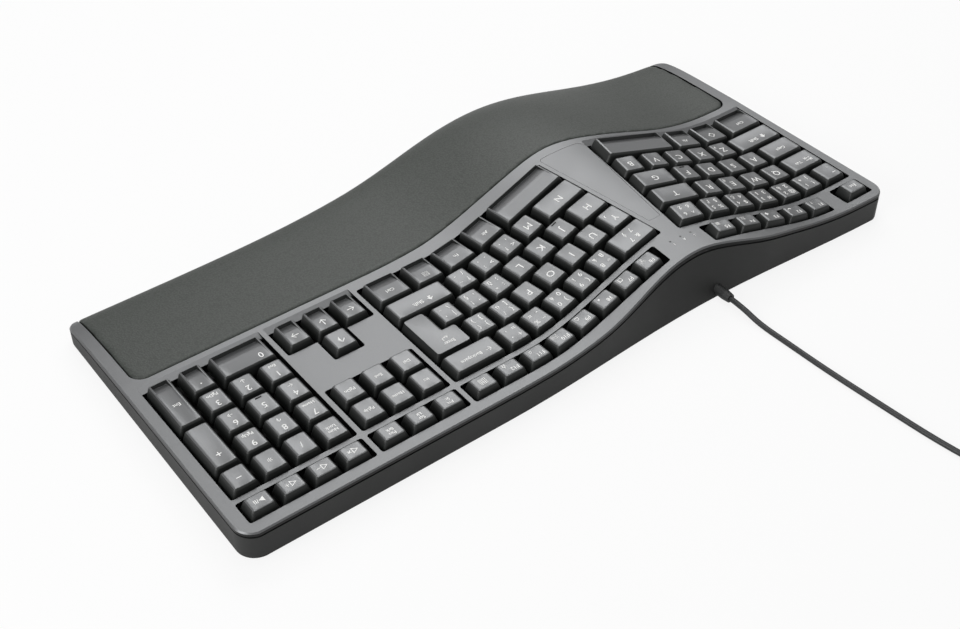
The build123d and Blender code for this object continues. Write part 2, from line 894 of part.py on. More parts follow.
with BuildPart() as ramp_spans:
    add(field_pockets(0, front=ramp_reach))
    ramp_blocks = block_pockets(0, reach=ramp_run + 0.5)
    add([ramp_blocks["arrows"], ramp_blocks["number"]])

with BuildPart() as ramps:
    add(under_ramps(ramp_cut))
    add(ramp_spans.part, mode=Mode.INTERSECT)

with BuildPart() as trim_recess:
    add(trim_prism(0))
    add(sheet_body(-trim_recess_depth, -60), mode=Mode.SUBTRACT)

with BuildPart() as top_cover:
    add(outer_shell.part)
    add(under_cover.part, mode=Mode.SUBTRACT)
    add(shell_body(under_recess, 0, under_recess, 0, back_extra=10), mode=Mode.SUBTRACT)
    add(palm_recess.part, mode=Mode.SUBTRACT)
    add(under_ramps(ramp_block))
    add(all_pockets(0), mode=Mode.SUBTRACT)
    add(ramps.part, mode=Mode.SUBTRACT)
    add(trim_recess.part, mode=Mode.SUBTRACT)
    add(posts(lens_places, lens_hole, 20, lambda x, y: 50), mode=Mode.SUBTRACT)
    add(posts(screw_places, boss_radius, pillar_top + 0.05, lambda x, y: screw_ceiling(x, y) + 0.6))
    pilots = posts(screw_places, pilot_radius, pillar_top, lambda x, y: screw_tip(x, y) + 0.3)
    add(pilots, mode=Mode.SUBTRACT)
top_cover.part.label = "top_cover"
export_step(top_cover.part, "parts/top_cover.step")

# The palm rest's skin and foam, and the inlay on the ridge

skin_gap = 0.35
skin_proud = 0.2
with BuildPart() as palm_rest_pad:
    add(palm_prism(skin_gap))
    add(shell_body(-skin_proud, 0, -skin_proud, 0), mode=Mode.INTERSECT)
    add(shell_body(skin_thickness, 0, skin_thickness, 0), mode=Mode.SUBTRACT)
    add(block_below(cover_low + 0.1), mode=Mode.SUBTRACT)
palm_rest_pad.part.label = "palm_rest_pad"
export_step(palm_rest_pad.part, "parts/palm_rest_pad.step")

with BuildPart() as palm_rest_foam:
    add(palm_prism(1.0))
    add(shell_body(skin_thickness + 0.1, 0, skin_thickness + 0.1, 0), mode=Mode.INTERSECT)
    add(shell_body(recess_depth - 0.1, 0, recess_depth - 0.1, 0), mode=Mode.SUBTRACT)
    add(block_below(cover_low + 0.4), mode=Mode.SUBTRACT)
palm_rest_foam.part.label = "palm_rest_foam"
export_step(palm_rest_foam.part, "parts/palm_rest_foam.step")

with BuildPart() as center_trim:
    add(trim_prism(0.2))
    add(sheet_body(-0.05, -trim_recess_depth + 0.1), mode=Mode.INTERSECT)
center_trim.part.label = "center_trim"
export_step(center_trim.part, "parts/center_trim.step")

# The black frame: a walled tray under every pocket, with a guide hole for every plunger

tray_wall_in = 1.1
tray_wall_out = 1.9
frame_top = -3.0
guide_hole = 7.6


def union(parts):
    """One solid from several that touch or overlap."""
    with BuildPart() as whole:
        add(parts)
    return whole.part


inside_walls = shell_body(-1, case_wall + 0.4, -3, foot_height)
with BuildPart() as tray_hollows:
    add(union(all_pockets(tray_wall_in)))
    add(sheet_body(20, tray_floor), mode=Mode.INTERSECT)

with BuildPart() as bridge_floor:
    add(box_prism(-112, -48, -2, 66))
    add(sheet_body(tray_floor - 0.1, tray_floor - tray_thickness), mode=Mode.INTERSECT)

with BuildPart() as key_frame:
    add(union(all_pockets(tray_wall_out)))
    add(sheet_body(frame_top, tray_floor - tray_thickness), mode=Mode.INTERSECT)
    add(tray_hollows.part, mode=Mode.SUBTRACT)
    add(bridge_floor.part)
    for room in under_ramps(ramp_room):
        add(room, mode=Mode.SUBTRACT)
    with BuildSketch(*[place.offset(-9) for place in plunger_places]):
        Rectangle(guide_hole, guide_hole)
    extrude(amount=-7, mode=Mode.SUBTRACT)
    add(posts(screw_places, boss_radius + 0.6, 0, lambda x, y: 60), mode=Mode.SUBTRACT)
    add(inside_walls, mode=Mode.INTERSECT)
key_frame.part.label = "key_frame"
export_step(key_frame.part, "parts/key_frame.step")

# Rubber domes, the printed membrane and the steel plate

with BuildPart() as rubber_domes:
    with BuildSketch(*[place.offset(dome_base - key_top) for place in plunger_places]):
        Circle(dome_base_radius)
    extrude(amount=dome_top - dome_base, taper=dome_taper)
rubber_domes.part.label = "rubber_domes"
export_step(rubber_domes.part, "parts/rubber_domes.step")


def sheet_edges(x):
    """Front and back edge of the sheets under the keys."""
    return main_row_y(4, x) - 6.0, function_row_y(x) + 6.5


def key_sheet(top, bottom, inset):
    """A sheet under all the keys, cut out round the screw bosses."""

    def profile(x):
        front, back = sheet_edges(x)
        front += inset
        back -= inset
        return [(front, bottom), (back, bottom), (back, top), (front, top)]

    with BuildPart() as sheet:
        add(ribbon(profile, -sheet_end + inset, sheet_end - inset))
        add(posts(screw_places, pillar_radius + 0.5, 0, lambda x, y: 60), mode=Mode.SUBTRACT)
        add(inside_walls, mode=Mode.INTERSECT)
    return sheet.part


with BuildPart() as membrane_sheet:
    add(key_sheet(membrane_top, membrane_top - membrane_thickness, 0.6))
membrane_sheet.part.label = "membrane_sheet"
export_step(membrane_sheet.part, "parts/membrane_sheet.step")

with BuildPart() as backing_plate:
    add(key_sheet(plate_top, plate_top - plate_thickness, 0.0))
backing_plate.part.label = "backing_plate"
export_step(backing_plate.part, "parts/backing_plate.step")

# The black case: a tub with a floor, a tongue for the cover, pillars and recesses for the feet

floor_top = foot_height + case_floor
wall_inner_y = back_foot_y(lead_x) - case_wall - 3.0
lip_top = cover_low - 0.1
plate_bottom = plate_top - plate_thickness


def tilt_plane(side):
    """A plane across the hinge of a tilt foot, drawn in Y and Z, facing +X."""
    return Plane(origin=(side * tilt_x, tilt_hinge_y, tilt_hinge_z), x_dir=(0, 1, 0), z_dir=(1, 0, 0))


with BuildPart() as lip:
    add(shell_body(0, 0, 0, foot_height))
    add(block_above(lip_top), mode=Mode.SUBTRACT)

with BuildPart() as tongue:
    add(shell_body(cover_wall + 0.15, tongue_inset, band_drop + 0.4, foot_height))
    add(plan_prism(tongue_inset), mode=Mode.INTERSECT)

with BuildPart() as wall_outer:
    add(shell_body(band_drop, 0, band_drop, foot_height))
    add(lip.part)
    add(outline_block, mode=Mode.INTERSECT)
    add(tongue.part)

with BuildPart() as tub_room:
    add(plan_prism(case_wall, low=floor_top))
    add(shell_body(0, case_wall, -3.0, foot_height), mode=Mode.INTERSECT)
    add(block_below(floor_top), mode=Mode.SUBTRACT)

with BuildPart() as bottom_case:
    add(wall_outer.part)
    add(tub_room.part, mode=Mode.SUBTRACT)
    add(box_prism(palm_left - 3.7, palm_right + 3.0, -140, -78, low=lip_top), mode=Mode.SUBTRACT)
    add(posts(screw_places, pillar_radius, floor_top - 0.5, lambda x, y: pillar_top))
    add(posts(rib_places, 2.5, floor_top - 0.5, lambda x, y: deck_z(x, y) + plate_bottom - 1.0))
    add(posts(board_posts, 2.0, floor_top - 0.5, lambda x, y: board_z))
    for side in (-1, 1):
        with BuildSketch(Plane.XY.offset(floor_top - 0.5)):
            with Locations((side * tilt_x, tilt_hinge_y - 9.0)):
                Rectangle(tilt_width + 8.0, 29.0)
        extrude(amount=tilt_roof - floor_top + 0.5)
    add(posts(screw_places, 1.5, 0, lambda x, y: pillar_top + 1), mode=Mode.SUBTRACT)
    add(posts(screw_places, head_radius + 0.2, 0, lambda x, y: head_top + 0.02), mode=Mode.SUBTRACT)
    for side in (-1, 1):
        with BuildSketch(Plane.XY):
            with Locations((side * tilt_x, tilt_hinge_y - tilt_length / 2 + 1.4)):
                Rectangle(tilt_width + 0.6, tilt_length + 1.6)
        extrude(amount=tilt_roof - tilt_roof_wall, mode=Mode.SUBTRACT)
        with BuildSketch(Plane(origin=(side * tilt_x, tilt_hinge_y, tilt_hinge_z), z_dir=(1, 0, 0))):
            Circle(trunnion_radius + 0.05)
        extrude(amount=tilt_width / 2 + 2.2, both=True, mode=Mode.SUBTRACT)
    with BuildSketch(Plane(origin=(lead_x, wall_inner_y - 0.1, lead_z), z_dir=(0, 1, 0))):
        Circle(boot_radius + 0.1)
    extrude(amount=30, mode=Mode.SUBTRACT)
bottom_case.part.label = "bottom_case"
export_step(bottom_case.part, "parts/bottom_case.step")

# Circuit board and the light pipes beside the ridge

board_middle = (-85.0, 92.0)
board_face = Plane.XY.offset(board_z + board_thickness - 0.1)
with BuildPart() as controller_pcb:
    with BuildSketch(Plane.XY.offset(board_z + 0.02)):
        with Locations(board_middle):
            RectangleRounded(50, 24, 1.5)
        with Locations(*board_posts):
            Circle(0.9, mode=Mode.SUBTRACT)
    extrude(amount=board_thickness)
    with BuildSketch(board_face) as chip:
        with Locations((board_middle[0] - 4, board_middle[1])):
            Rectangle(9, 7)
    extrude(amount=1.7)
    with BuildSketch(board_face) as crystal:
        with Locations((board_middle[0] + 8, board_middle[1] + 2)):
            SlotOverall(9, 3.6)
    extrude(amount=3.5)
    with BuildSketch(board_face) as connectors:
        with Locations((board_middle[0], board_middle[1] - 9)):
            Rectangle(34, 3.2)
        with Locations((board_middle[0] - 14, board_middle[1] + 6)):
            Rectangle(10, 4)
    extrude(amount=2.6)
controller_pcb.part.label = "controller_pcb"
export_step(controller_pcb.part, "parts/controller_pcb.step")

with BuildPart() as indicator_lenses:
    for x, y in lens_places:
        top = deck_z(x, y) - 0.15
        with BuildSketch(Plane.XY.offset(top)):
            with Locations((x, y)):
                Circle(lens_hole - 0.05)
        extrude(amount=-4.6)
    carrier_top = min(deck_z(x, y) for x, y in lens_places) - cover_wall - 0.5
    with BuildSketch(Plane.XY.offset(carrier_top)):
        with Locations((-85.45, 86.0)):
            SlotOverall(21.0, 3.4)
    extrude(amount=-1.4)
indicator_lenses.part.label = "indicator_lenses"
export_step(indicator_lenses.part, "parts/indicator_lenses.step")

# Screws from below, rubber feet and the two fold-out feet

with BuildPart() as case_screws:
    for x, y in screw_places:
        with BuildSketch(Plane.XY.offset(head_low)):
            with Locations((x, y)):
                Circle(head_radius)
        extrude(amount=head_top - head_low)
        with BuildSketch(Plane.XY.offset(head_top)):
            with Locations((x, y)):
                Circle(thread_radius)
        extrude(amount=screw_tip(x, y) - head_top)
        with BuildSketch(Plane.XY.offset(head_low)):
            with Locations((x, y)):
                Rectangle(3.0, 0.7)
                Rectangle(0.7, 3.0)
        extrude(amount=1.0, mode=Mode.SUBTRACT)
case_screws.part.label = "case_screws"
export_step(case_screws.part, "parts/case_screws.step")

with BuildPart() as rubber_feet:
    with BuildSketch(Plane.XY):
        with Locations(*rubber_places):
            SlotOverall(28, 9)
    extrude(amount=foot_height)
    fillet(rubber_feet.edges().filter_by(lambda e: e.center().Z < 0.01), 0.4)
rubber_feet.part.label = "rubber_feet"
export_step(rubber_feet.part, "parts/rubber_feet.step")

for name, side in (("tilt_foot_left", -1), ("tilt_foot_right", 1)):
    with BuildPart() as tilt_foot:
        with BuildSketch(tilt_plane(side)):
            with Locations((-(tilt_length - tilt_half) / 2, 0)):
                Rectangle(tilt_length - tilt_half, 2 * tilt_half)
            Circle(tilt_half)
        extrude(amount=tilt_width / 2, both=True)
        fillet(tilt_foot.edges().filter_by(Axis.Z).group_by(Axis.Y)[0], 4.0)
        with BuildSketch(Plane.XY.offset(tilt_hinge_z - tilt_half)):
            with Locations((side * tilt_x, tilt_hinge_y - tilt_length + 5.0)):
                SlotOverall(18, 3.2)
        extrude(amount=0.8, mode=Mode.SUBTRACT)
        with BuildSketch(Plane(origin=(side * tilt_x, tilt_hinge_y, tilt_hinge_z), z_dir=(1, 0, 0))):
            Circle(trunnion_radius)
        extrude(amount=tilt_width / 2 + 2.0, both=True)
    tilt_foot.part.label = name
    export_step(tilt_foot.part, f"parts/{name}.step")

# The lead: its boot, the lead itself, the coil of its spare length, the tie and the plug

flange_x = lead_x + 5.2
flange_back = wall_inner_y - 0.3
boot_x = lead_x + boot_radius
with BuildPart() as strain_relief:
    with BuildSketch(Plane.XY.offset(lead_z)):
        with BuildLine():
            Polyline(
                (lead_x, flange_back - 1.3), (flange_x, flange_back - 1.3), (flange_x, flange_back),
                (boot_x, flange_back), (boot_x, boot_end_y - 4.5), (boot_x - 0.5, boot_end_y),
                (lead_x, boot_end_y), close=True,
            )
        make_face()
    revolve(axis=Axis((lead_x, 0, lead_z), (0, 1, 0)))
    with BuildSketch(Plane.XY):
        with Locations((lead_x, wall_inner_y - 10)):
            Rectangle(30, 20)
    extrude(amount=floor_top + 0.05, mode=Mode.SUBTRACT)
strain_relief.part.label = "strain_relief"
export_step(strain_relief.part, "parts/strain_relief.step")

# The lead's route from the boot to the coil, by hand
lead_points = [
    (lead_x, boot_end_y, lead_z), (lead_x, 133, lead_z), (-97.6, 147, 1.85), (-98.8, 168, 1.8),
    (-100.3, 199, 1.8), (-103.8, 237, 1.8), (-107.6, 276, 1.8), (-114.4, 310, 1.8), (-118.6, 332, 1.9),
    (-119.8, 346, 2.55),
]
coil_rise = 0.8
coil_turn_radii = [26.5 - lead_diameter * k for k in range(5)]
coil_outer = coil_turn_radii[0] + lead_diameter / 2
coil_inner = coil_turn_radii[-1] - lead_diameter / 2
coil_height = 2 * lead_diameter
coil_middle = (lead_points[-1][0] - coil_outer - lead_diameter / 2, lead_points[-1][1])
tail_z = coil_rise + 1.5 * lead_diameter
tail_y = coil_middle[1] + coil_outer + lead_diameter / 2
tail_points = [
    (coil_middle[0], tail_y, tail_z), (coil_middle[0] - 13, tail_y + 0.5, tail_z - 0.3),
    (coil_middle[0] - 27, tail_y, 4.0), (coil_middle[0] - 41, tail_y, 4.0),
]
plug_start = tail_points[-1]


def arc_radii(points):
    """The largest arcs that the runs leave room for, one at each inner point."""
    radii = []
    for before, here, after in zip(points, points[1:], points[2:]):
        run_in = Vector(*here) - Vector(*before)
        run_out = Vector(*after) - Vector(*here)
        turn = math.radians(run_in.get_angle(run_out))
        radii.append(0.45 * min(run_in.length, run_out.length) / math.tan(turn / 2))
    return radii


def lead_tube(points):
    """A round tube along straight runs joined by arcs."""
    radii = arc_radii(points)
    with BuildPart() as tube:
        with BuildLine() as path:
            FilletPolyline(*points, radius=radii)
        with BuildSketch(Plane(origin=path.line @ 0, z_dir=path.line % 0)):
            Circle(lead_diameter / 2)
        sweep(path=path.line)
    length = sum(edge.length for edge in path.line.edges())
    section = math.pi * lead_diameter * lead_diameter / 4
    print("lead radii:", [round(radius) for radius in radii], "length:", round(length, 1))
    print("volume over section times length:", round(tube.part.volume / (section * length), 4))
    return tube.part


with BuildPart() as usb_cord:
    add(lead_tube(lead_points))
    add(lead_tube(tail_points))
usb_cord.part.label = "usb_cord"
export_step(usb_cord.part, "parts/usb_cord.step")

with BuildPart() as cord_coil:
    with BuildSketch(Plane.XY.offset(coil_rise)):
        with Locations(coil_middle):
            Circle(coil_outer)
            Circle(coil_inner, mode=Mode.SUBTRACT)
    extrude(amount=coil_height)
    fillet(cord_coil.edges(), 1.2)
cord_coil.part.label = "cord_coil"
export_step(cord_coil.part, "parts/cord_coil.step")

with BuildPart() as cord_tie:
    with BuildSketch(Plane.YZ.offset(coil_middle[0])):
        with Locations((coil_middle[1] - (coil_outer + coil_inner) / 2, coil_rise + coil_height / 2)):
            RectangleRounded(coil_outer - coil_inner + 2.4, coil_height + 2 * coil_rise, 1.5)
            Rectangle(coil_outer - coil_inner + 1.0, coil_height + 0.1, mode=Mode.SUBTRACT)
    extrude(amount=tie_width / 2, both=True)
cord_tie.part.label = "cord_tie"
export_step(cord_tie.part, "parts/cord_tie.step")

plug_plane = Plane(origin=plug_start, x_dir=(0, 1, 0), z_dir=(-1, 0, 0))
with BuildPart() as usb_plug:
    with BuildSketch(plug_plane) as boot_narrow:
        Circle(2.6)
    with BuildSketch(plug_plane.offset(9.0)) as boot_wide:
        Circle(3.4)
    loft()
    with BuildSketch(plug_plane.offset(8.5)) as grip:
        RectangleRounded(15.6, 7.8, 2.2)
    extrude(amount=19.5)
    with BuildSketch(plug_plane.offset(27.5)) as metal_shell:
        RectangleRounded(12.0, 4.5, 0.6)
        with Locations((0, 0.9)):
            Rectangle(11.2, 1.9, mode=Mode.SUBTRACT)
    extrude(amount=12.5)
usb_plug.part.label = "usb_plug"
export_step(usb_plug.part, "parts/usb_plug.step")
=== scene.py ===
# %% [markdown]
# # A curved office keyboard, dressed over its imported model
#
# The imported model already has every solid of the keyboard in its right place. This lesson loads
# it as a fixed frame, gives each solid a finish, and models again what the eye rests on: the
# keycaps, their printed signs, the soft palm rest and the lead. Everything is in metres.

# %% Load the frame
import json
import math
import bmesh
import bpy
from mathutils import Matrix, Vector


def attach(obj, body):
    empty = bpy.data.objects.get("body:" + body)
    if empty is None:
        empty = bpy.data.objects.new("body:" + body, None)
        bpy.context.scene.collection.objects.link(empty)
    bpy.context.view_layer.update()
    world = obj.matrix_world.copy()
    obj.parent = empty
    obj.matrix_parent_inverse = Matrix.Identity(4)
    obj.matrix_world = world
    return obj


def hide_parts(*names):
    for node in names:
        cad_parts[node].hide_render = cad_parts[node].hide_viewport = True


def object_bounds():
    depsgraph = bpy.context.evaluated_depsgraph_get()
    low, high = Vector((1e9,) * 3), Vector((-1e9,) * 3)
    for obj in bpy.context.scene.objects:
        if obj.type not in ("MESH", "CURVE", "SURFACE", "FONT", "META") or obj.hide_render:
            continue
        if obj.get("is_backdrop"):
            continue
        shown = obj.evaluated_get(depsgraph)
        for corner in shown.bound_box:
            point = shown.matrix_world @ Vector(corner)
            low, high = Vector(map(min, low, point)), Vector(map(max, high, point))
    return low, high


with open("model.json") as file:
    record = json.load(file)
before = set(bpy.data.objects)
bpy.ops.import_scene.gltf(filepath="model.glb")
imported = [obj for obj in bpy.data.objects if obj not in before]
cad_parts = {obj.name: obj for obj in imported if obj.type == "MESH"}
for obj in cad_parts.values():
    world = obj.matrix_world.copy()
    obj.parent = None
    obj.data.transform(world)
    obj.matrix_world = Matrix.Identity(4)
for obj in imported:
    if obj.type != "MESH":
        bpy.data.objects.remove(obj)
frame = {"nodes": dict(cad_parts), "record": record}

cad_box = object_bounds()
nodes = frame["nodes"]
scene = bpy.context.scene
MM = 0.001
print("nodes:", len(nodes), "box:", [[round(v, 4) for v in corner] for corner in cad_box])

# %% [markdown]
# ## Camera
#
# The photograph was taken from behind the right end of the keyboard, looking down over it. The
# camera's place and three directions were worked out from the key rows, whose pitch is known.

# %% Camera
camera_place = Vector((0.42838, 0.56222, 0.59338))
camera_right = Vector((-0.79671, 0.60436, 0.00123))
camera_back = Vector((0.44981, 0.59162, 0.66908)).normalized()
camera_up = camera_back.cross(camera_right).normalized()
camera_right = camera_up.cross(camera_back).normalized()
camera_data = bpy.data.cameras.new("Camera")
camera_data.lens = 55.0
camera_data.sensor_width = 36.0
camera_data.clip_start = 0.01
camera = bpy.data.objects.new("Camera", camera_data)
scene.collection.objects.link(camera)
turn = Matrix((camera_right, camera_up, camera_back)).transposed()
camera.matrix_world = Matrix.Translation(camera_place) @ turn.to_4x4()
scene.camera = camera
scene.view_settings.view_transform = "Standard"
print("camera looks", [round(v, 3) for v in -camera_back])


# %% [markdown]
# ## Helpers for materials
#
# A material is a small network of nodes. One function turns a hex colour, as it is read from a
# screen, to the linear numbers that the renderer wants, and one adds a node with its settings
# and its links. With those two, each finish below reads as a short list.

# %% Material helpers
def linear(hex_colour):
    """An sRGB hex colour as linear red, green, blue and alpha."""
    parts = [int(hex_colour[k:k + 2], 16) / 255 for k in (0, 2, 4)]
    return [v / 12.92 if v <= 0.04045 else ((v + 0.055) / 1.055) ** 2.4 for v in parts] + [1.0]


def add_node(tree, kind, settings=None, inputs=None):
    """A node of a kind, with attributes set and its inputs given a value or linked to a socket."""
    node = tree.nodes.new(kind)
    for name, value in (settings or {}).items():
        setattr(node, name, value)
    for name, value in (inputs or {}).items():
        socket = node.inputs[name]
        if isinstance(value, bpy.types.NodeSocket):
            tree.links.new(value, socket)
        else:
            socket.default_value = value
    return node


def new_material(name):
    """An empty material, its node tree and the surface socket of its output."""
    material = bpy.data.materials.new(name)
    material.use_nodes = True
    tree = material.node_tree
    tree.nodes.clear()
    output = tree.nodes.new("ShaderNodeOutputMaterial")
    return material, tree, output.inputs["Surface"]


clouds_per_metre = 28.0


def moulded(name, colour, roughness, grain_mm, bump, variation=0.06, **sockets):
    """A moulded or painted surface: fine grain for its bump, slow clouds for its roughness."""
    material, tree, surface = new_material(name)
    place = add_node(tree, "ShaderNodeTexCoord").outputs["Object"]
    grain = add_node(tree, "ShaderNodeTexNoise", inputs={
        "Vector": place, "Scale": 1 / (grain_mm * MM), "Detail": 2.0, "Roughness": 0.55})
    cloud = add_node(tree, "ShaderNodeTexNoise", inputs={
        "Vector": place, "Scale": clouds_per_metre, "Detail": 3.0, "Roughness": 0.6})
    rough = add_node(tree, "ShaderNodeMapRange", inputs={
        "Value": cloud.outputs["Fac"], "From Min": 0.3, "From Max": 0.7,
        "To Min": roughness - variation / 2, "To Max": roughness + variation / 2})
    relief = add_node(tree, "ShaderNodeBump", inputs={
        "Height": grain.outputs["Fac"], "Strength": 1.0, "Distance": bump * MM})
    shader = add_node(tree, "ShaderNodeBsdfPrincipled", inputs={
        "Base Color": linear(colour), "Roughness": rough.outputs["Result"],
        "Normal": relief.outputs["Normal"], **sockets})
    tree.links.new(shader.outputs["BSDF"], surface)
    return material


def dress(name, material):
    """Gives a CAD node one material."""
    node = nodes[name]
    node.data.materials.clear()
    node.data.materials.append(material)


# %% [markdown]
# ## Floor, world and lamps
#
# The keyboard stands on a white ground that is almost lost in light. The floor glows to the
# camera's eye, and is plain white to the lamps, so the keyboard still throws its soft shadow.
# A wide softbox stands opposite the camera: it is what the satin key tops reflect.

# %% Floor and world
def seen_share(tree, to_camera, to_gloss):
    """A number for how much of the bright ground a ray sees: the camera's most, then reflections."""
    path = add_node(tree, "ShaderNodeLightPath")
    either = add_node(tree, "ShaderNodeMath", {"operation": "MAXIMUM"}, {
        0: path.outputs["Is Glossy Ray"], 1: path.outputs["Is Transmission Ray"]})
    gloss = add_node(tree, "ShaderNodeMath", {"operation": "MULTIPLY"}, {
        0: either.outputs[0], 1: to_gloss})
    eye = add_node(tree, "ShaderNodeMath", {"operation": "MULTIPLY"}, {
        0: path.outputs["Is Camera Ray"], 1: to_camera})
    return add_node(tree, "ShaderNodeMath", {"operation": "MAXIMUM"}, {
        0: eye.outputs[0], 1: gloss.outputs[0]}).outputs[0]


bpy.ops.mesh.primitive_plane_add(size=12, location=(0, 0, 0))
floor = bpy.context.object
floor.name = "floor"
floor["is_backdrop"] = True
floor_paint, tree, surface = new_material("white studio ground")
share = seen_share(tree, 0.85, 0.4)
matte = add_node(tree, "ShaderNodeBsdfDiffuse", inputs={"Color": (0.93, 0.93, 0.93, 1)})
glow = add_node(tree, "ShaderNodeEmission", inputs={"Color": (1, 1, 1, 1), "Strength": 1.0})
both = add_node(tree, "ShaderNodeMixShader", inputs={
    "Fac": share, 1: matte.outputs["BSDF"], 2: glow.outputs["Emission"]})
tree.links.new(both.outputs["Shader"], surface)
floor.data.materials.append(floor_paint)

world = bpy.data.worlds.new("World")
scene.world = world
world.use_nodes = True
tree = world.node_tree
tree.nodes.clear()
level = add_node(tree, "ShaderNodeMapRange", inputs={
    "Value": seen_share(tree, 1.0, 0.35), "To Min": 0.25, "To Max": 1.0})
sky = add_node(tree, "ShaderNodeBackground", inputs={
    "Color": (1, 1, 1, 1), "Strength": level.outputs["Result"]})
add_node(tree, "ShaderNodeOutputWorld", inputs={"Surface": sky.outputs["Background"]})
print("ground and sky:", floor_paint.name, "and", world.name)


# %% Lamps
def softbox(name, place, target, size, watts):
    """A rectangular lamp that faces a point."""
    data = bpy.data.lights.new(name, "AREA")
    data.shape = "RECTANGLE"
    data.size, data.size_y = size
    data.energy = watts
    lamp = bpy.data.objects.new(name, data)
    scene.collection.objects.link(lamp)
    facing = (Vector(target) - Vector(place)).to_track_quat("-Z", "Y")
    lamp.matrix_world = Matrix.Translation(place) @ facing.to_matrix().to_4x4()


softbox("front box", (-0.8, -0.95, 1.3), (0.0, 0.0, 0.0), (1.4, 0.85), 12)
softbox("side box", (1.5, 0.2, 0.7), (0.1, 0.0, 0.0), (0.9, 0.8), 12)
softbox("top box", (0.1, -0.1, 1.8), (0.0, 0.0, 0.0), (1.3, 0.9), 9)

# %% [markdown]
# ## The lead
#
# A thin round lead leaves the middle of the back wall and runs straight out of the picture. A
# lead has its own smooth line, so it is a curve: a few control points that it passes near, and
# a round section. What the picture doesn't show is wound into a flat round coil, held by a tie,
# and ends in the plug.

# %% Lead route
lead_mm = 3.5
lead_diameter = lead_mm * MM
lead_points = [
    (-97, 122.5, 5.3), (-97, 133, 5.3), (-97.6, 147, 1.85), (-98.8, 168, 1.8), (-100.3, 199, 1.8),
    (-103.8, 237, 1.8), (-107.6, 276, 1.8), (-114.4, 310, 1.8), (-118.6, 332, 1.9),
    (-119.8, 346, 2.55),
]
coil_x, coil_y = -149.8, 346.0
turn_radii = [26.5, 23.0, 19.5, 16.0, 12.5]
points_per_turn = 16
lower_layer_z = 2.55
climb_start, climb_turns = 4.4, 0.8
last_part_turn = 0.25


def coil_points():
    """Two flat layers of turns, the lower wound inward and the upper outward."""
    radii = turn_radii + turn_radii[::-1]
    points = []
    turns = len(radii) + last_part_turn
    for k in range(1, int(turns * points_per_turn)):
        along = k / points_per_turn
        number = min(int(along), len(radii) - 1)
        follow = min(number + 1, len(radii) - 1)
        part = along - number
        radius = radii[number] + (radii[follow] - radii[number]) * min(part, 1.0)
        rise = min(max((along - climb_start) / climb_turns, 0.0), 1.0)
        angle = math.tau * along
        points.append((coil_x + radius * math.cos(angle), coil_y + radius * math.sin(angle),
                       lower_layer_z + lead_mm * rise))
    return points


tail_points = [(-155.8, 373.2, 6.05), (-165.8, 375.9, 5.4), (-178.8, 376, 4.0), (-190.8, 376, 4.0)]
route = lead_points + coil_points() + tail_points
lead_data = bpy.data.curves.new("lead", "CURVE")
lead_data.dimensions = "3D"
lead_data.resolution_u = 4
spline = lead_data.splines.new("NURBS")
spline.points.add(len(route) - 1)
for point, place in zip(spline.points, route):
    point.co = (*[v * MM for v in place], 1.0)
spline.order_u = 3
spline.use_endpoint_u = True
lead_data.bevel_depth = lead_diameter / 2
lead_data.bevel_resolution = 3
lead_data.use_fill_caps = True
lead = bpy.data.objects.new("lead", lead_data)
scene.collection.objects.link(lead)
lead_data.materials.append(moulded("flexible PVC sheath", "232425", 0.42, 0.5, 0.02))
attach(lead, "case")
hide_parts("usb_cord", "cord_coil")
print("lead control points:", len(route))


# %% [markdown]
# ## Helpers for modelling
#
# New pieces are shaped with the same operators as by hand. An operator works on what is
# selected, so everything is deselected first, and vertices, edges and faces are then picked in
# code by where they are. These helpers keep each step to one line.

# %% Modelling helpers
def only(obj):
    """Deselects everything, then selects one object and makes it the active one."""
    bpy.ops.object.select_all(action="DESELECT")
    obj.select_set(True)
    bpy.context.view_layer.objects.active = obj


def edit(obj, kind="VERT"):
    """Edit mode on one object, with one kind of element to pick."""
    only(obj)
    bpy.ops.object.mode_set(mode="EDIT")
    bpy.context.tool_settings.mesh_select_mode = (kind == "VERT", kind == "EDGE", kind == "FACE")


def pick(obj, kind, test):
    """Selects the vertices, edges or faces that pass a test, and says how many there are."""
    mesh = bmesh.from_edit_mesh(obj.data)
    for group in (mesh.verts, mesh.edges, mesh.faces):
        for element in group:
            element.select = False
    chosen = [e for e in getattr(mesh, kind) if test(e)]
    for element in chosen:
        element.select = True
    mesh.select_flush_mode()
    bmesh.update_edit_mesh(obj.data)
    return len(chosen)


def shift(obj, test, offset):
    """Moves the vertices that pass a test."""
    if pick(obj, "verts", test):
        bpy.ops.transform.translate(value=offset)


def done():
    """Back to object mode."""
    bpy.ops.object.mode_set(mode="OBJECT")


def box(name, low, high):
    """A cube primitive with its place and size in its mesh."""
    middle = [(a + b) / 2 for a, b in zip(low, high)]
    bpy.ops.mesh.primitive_cube_add(size=1, location=middle, scale=[b - a for a, b in zip(low, high)])
    made = bpy.context.object
    made.name = name
    only(made)
    bpy.ops.object.transform_apply(location=True, rotation=True, scale=True)
    return made


def finish_with(obj, kind, **settings):
    """Adds one modifier with its settings and applies it."""
    only(obj)
    modifier = obj.modifiers.new(kind.title(), kind)
    for name, value in settings.items():
        setattr(modifier, name, value)
    bpy.ops.object.modifier_apply(modifier=modifier.name)


def join(objs, name):
    """Several objects made one."""
    bpy.ops.object.select_all(action="DESELECT")
    for obj in objs:
        obj.select_set(True)
    bpy.context.view_layer.objects.active = objs[0]
    if len(objs) > 1:
        bpy.ops.object.join()
    objs[0].name = name
    return objs[0]


# %% [markdown]
# ## Where the keys are
#
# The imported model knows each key's place. Its flat top is the largest group of faces that look
# up in one plane, and the longest edge across it gives the direction of the row, so a small
# function reads a frame for every key: across, along and up, with the size of the cap.

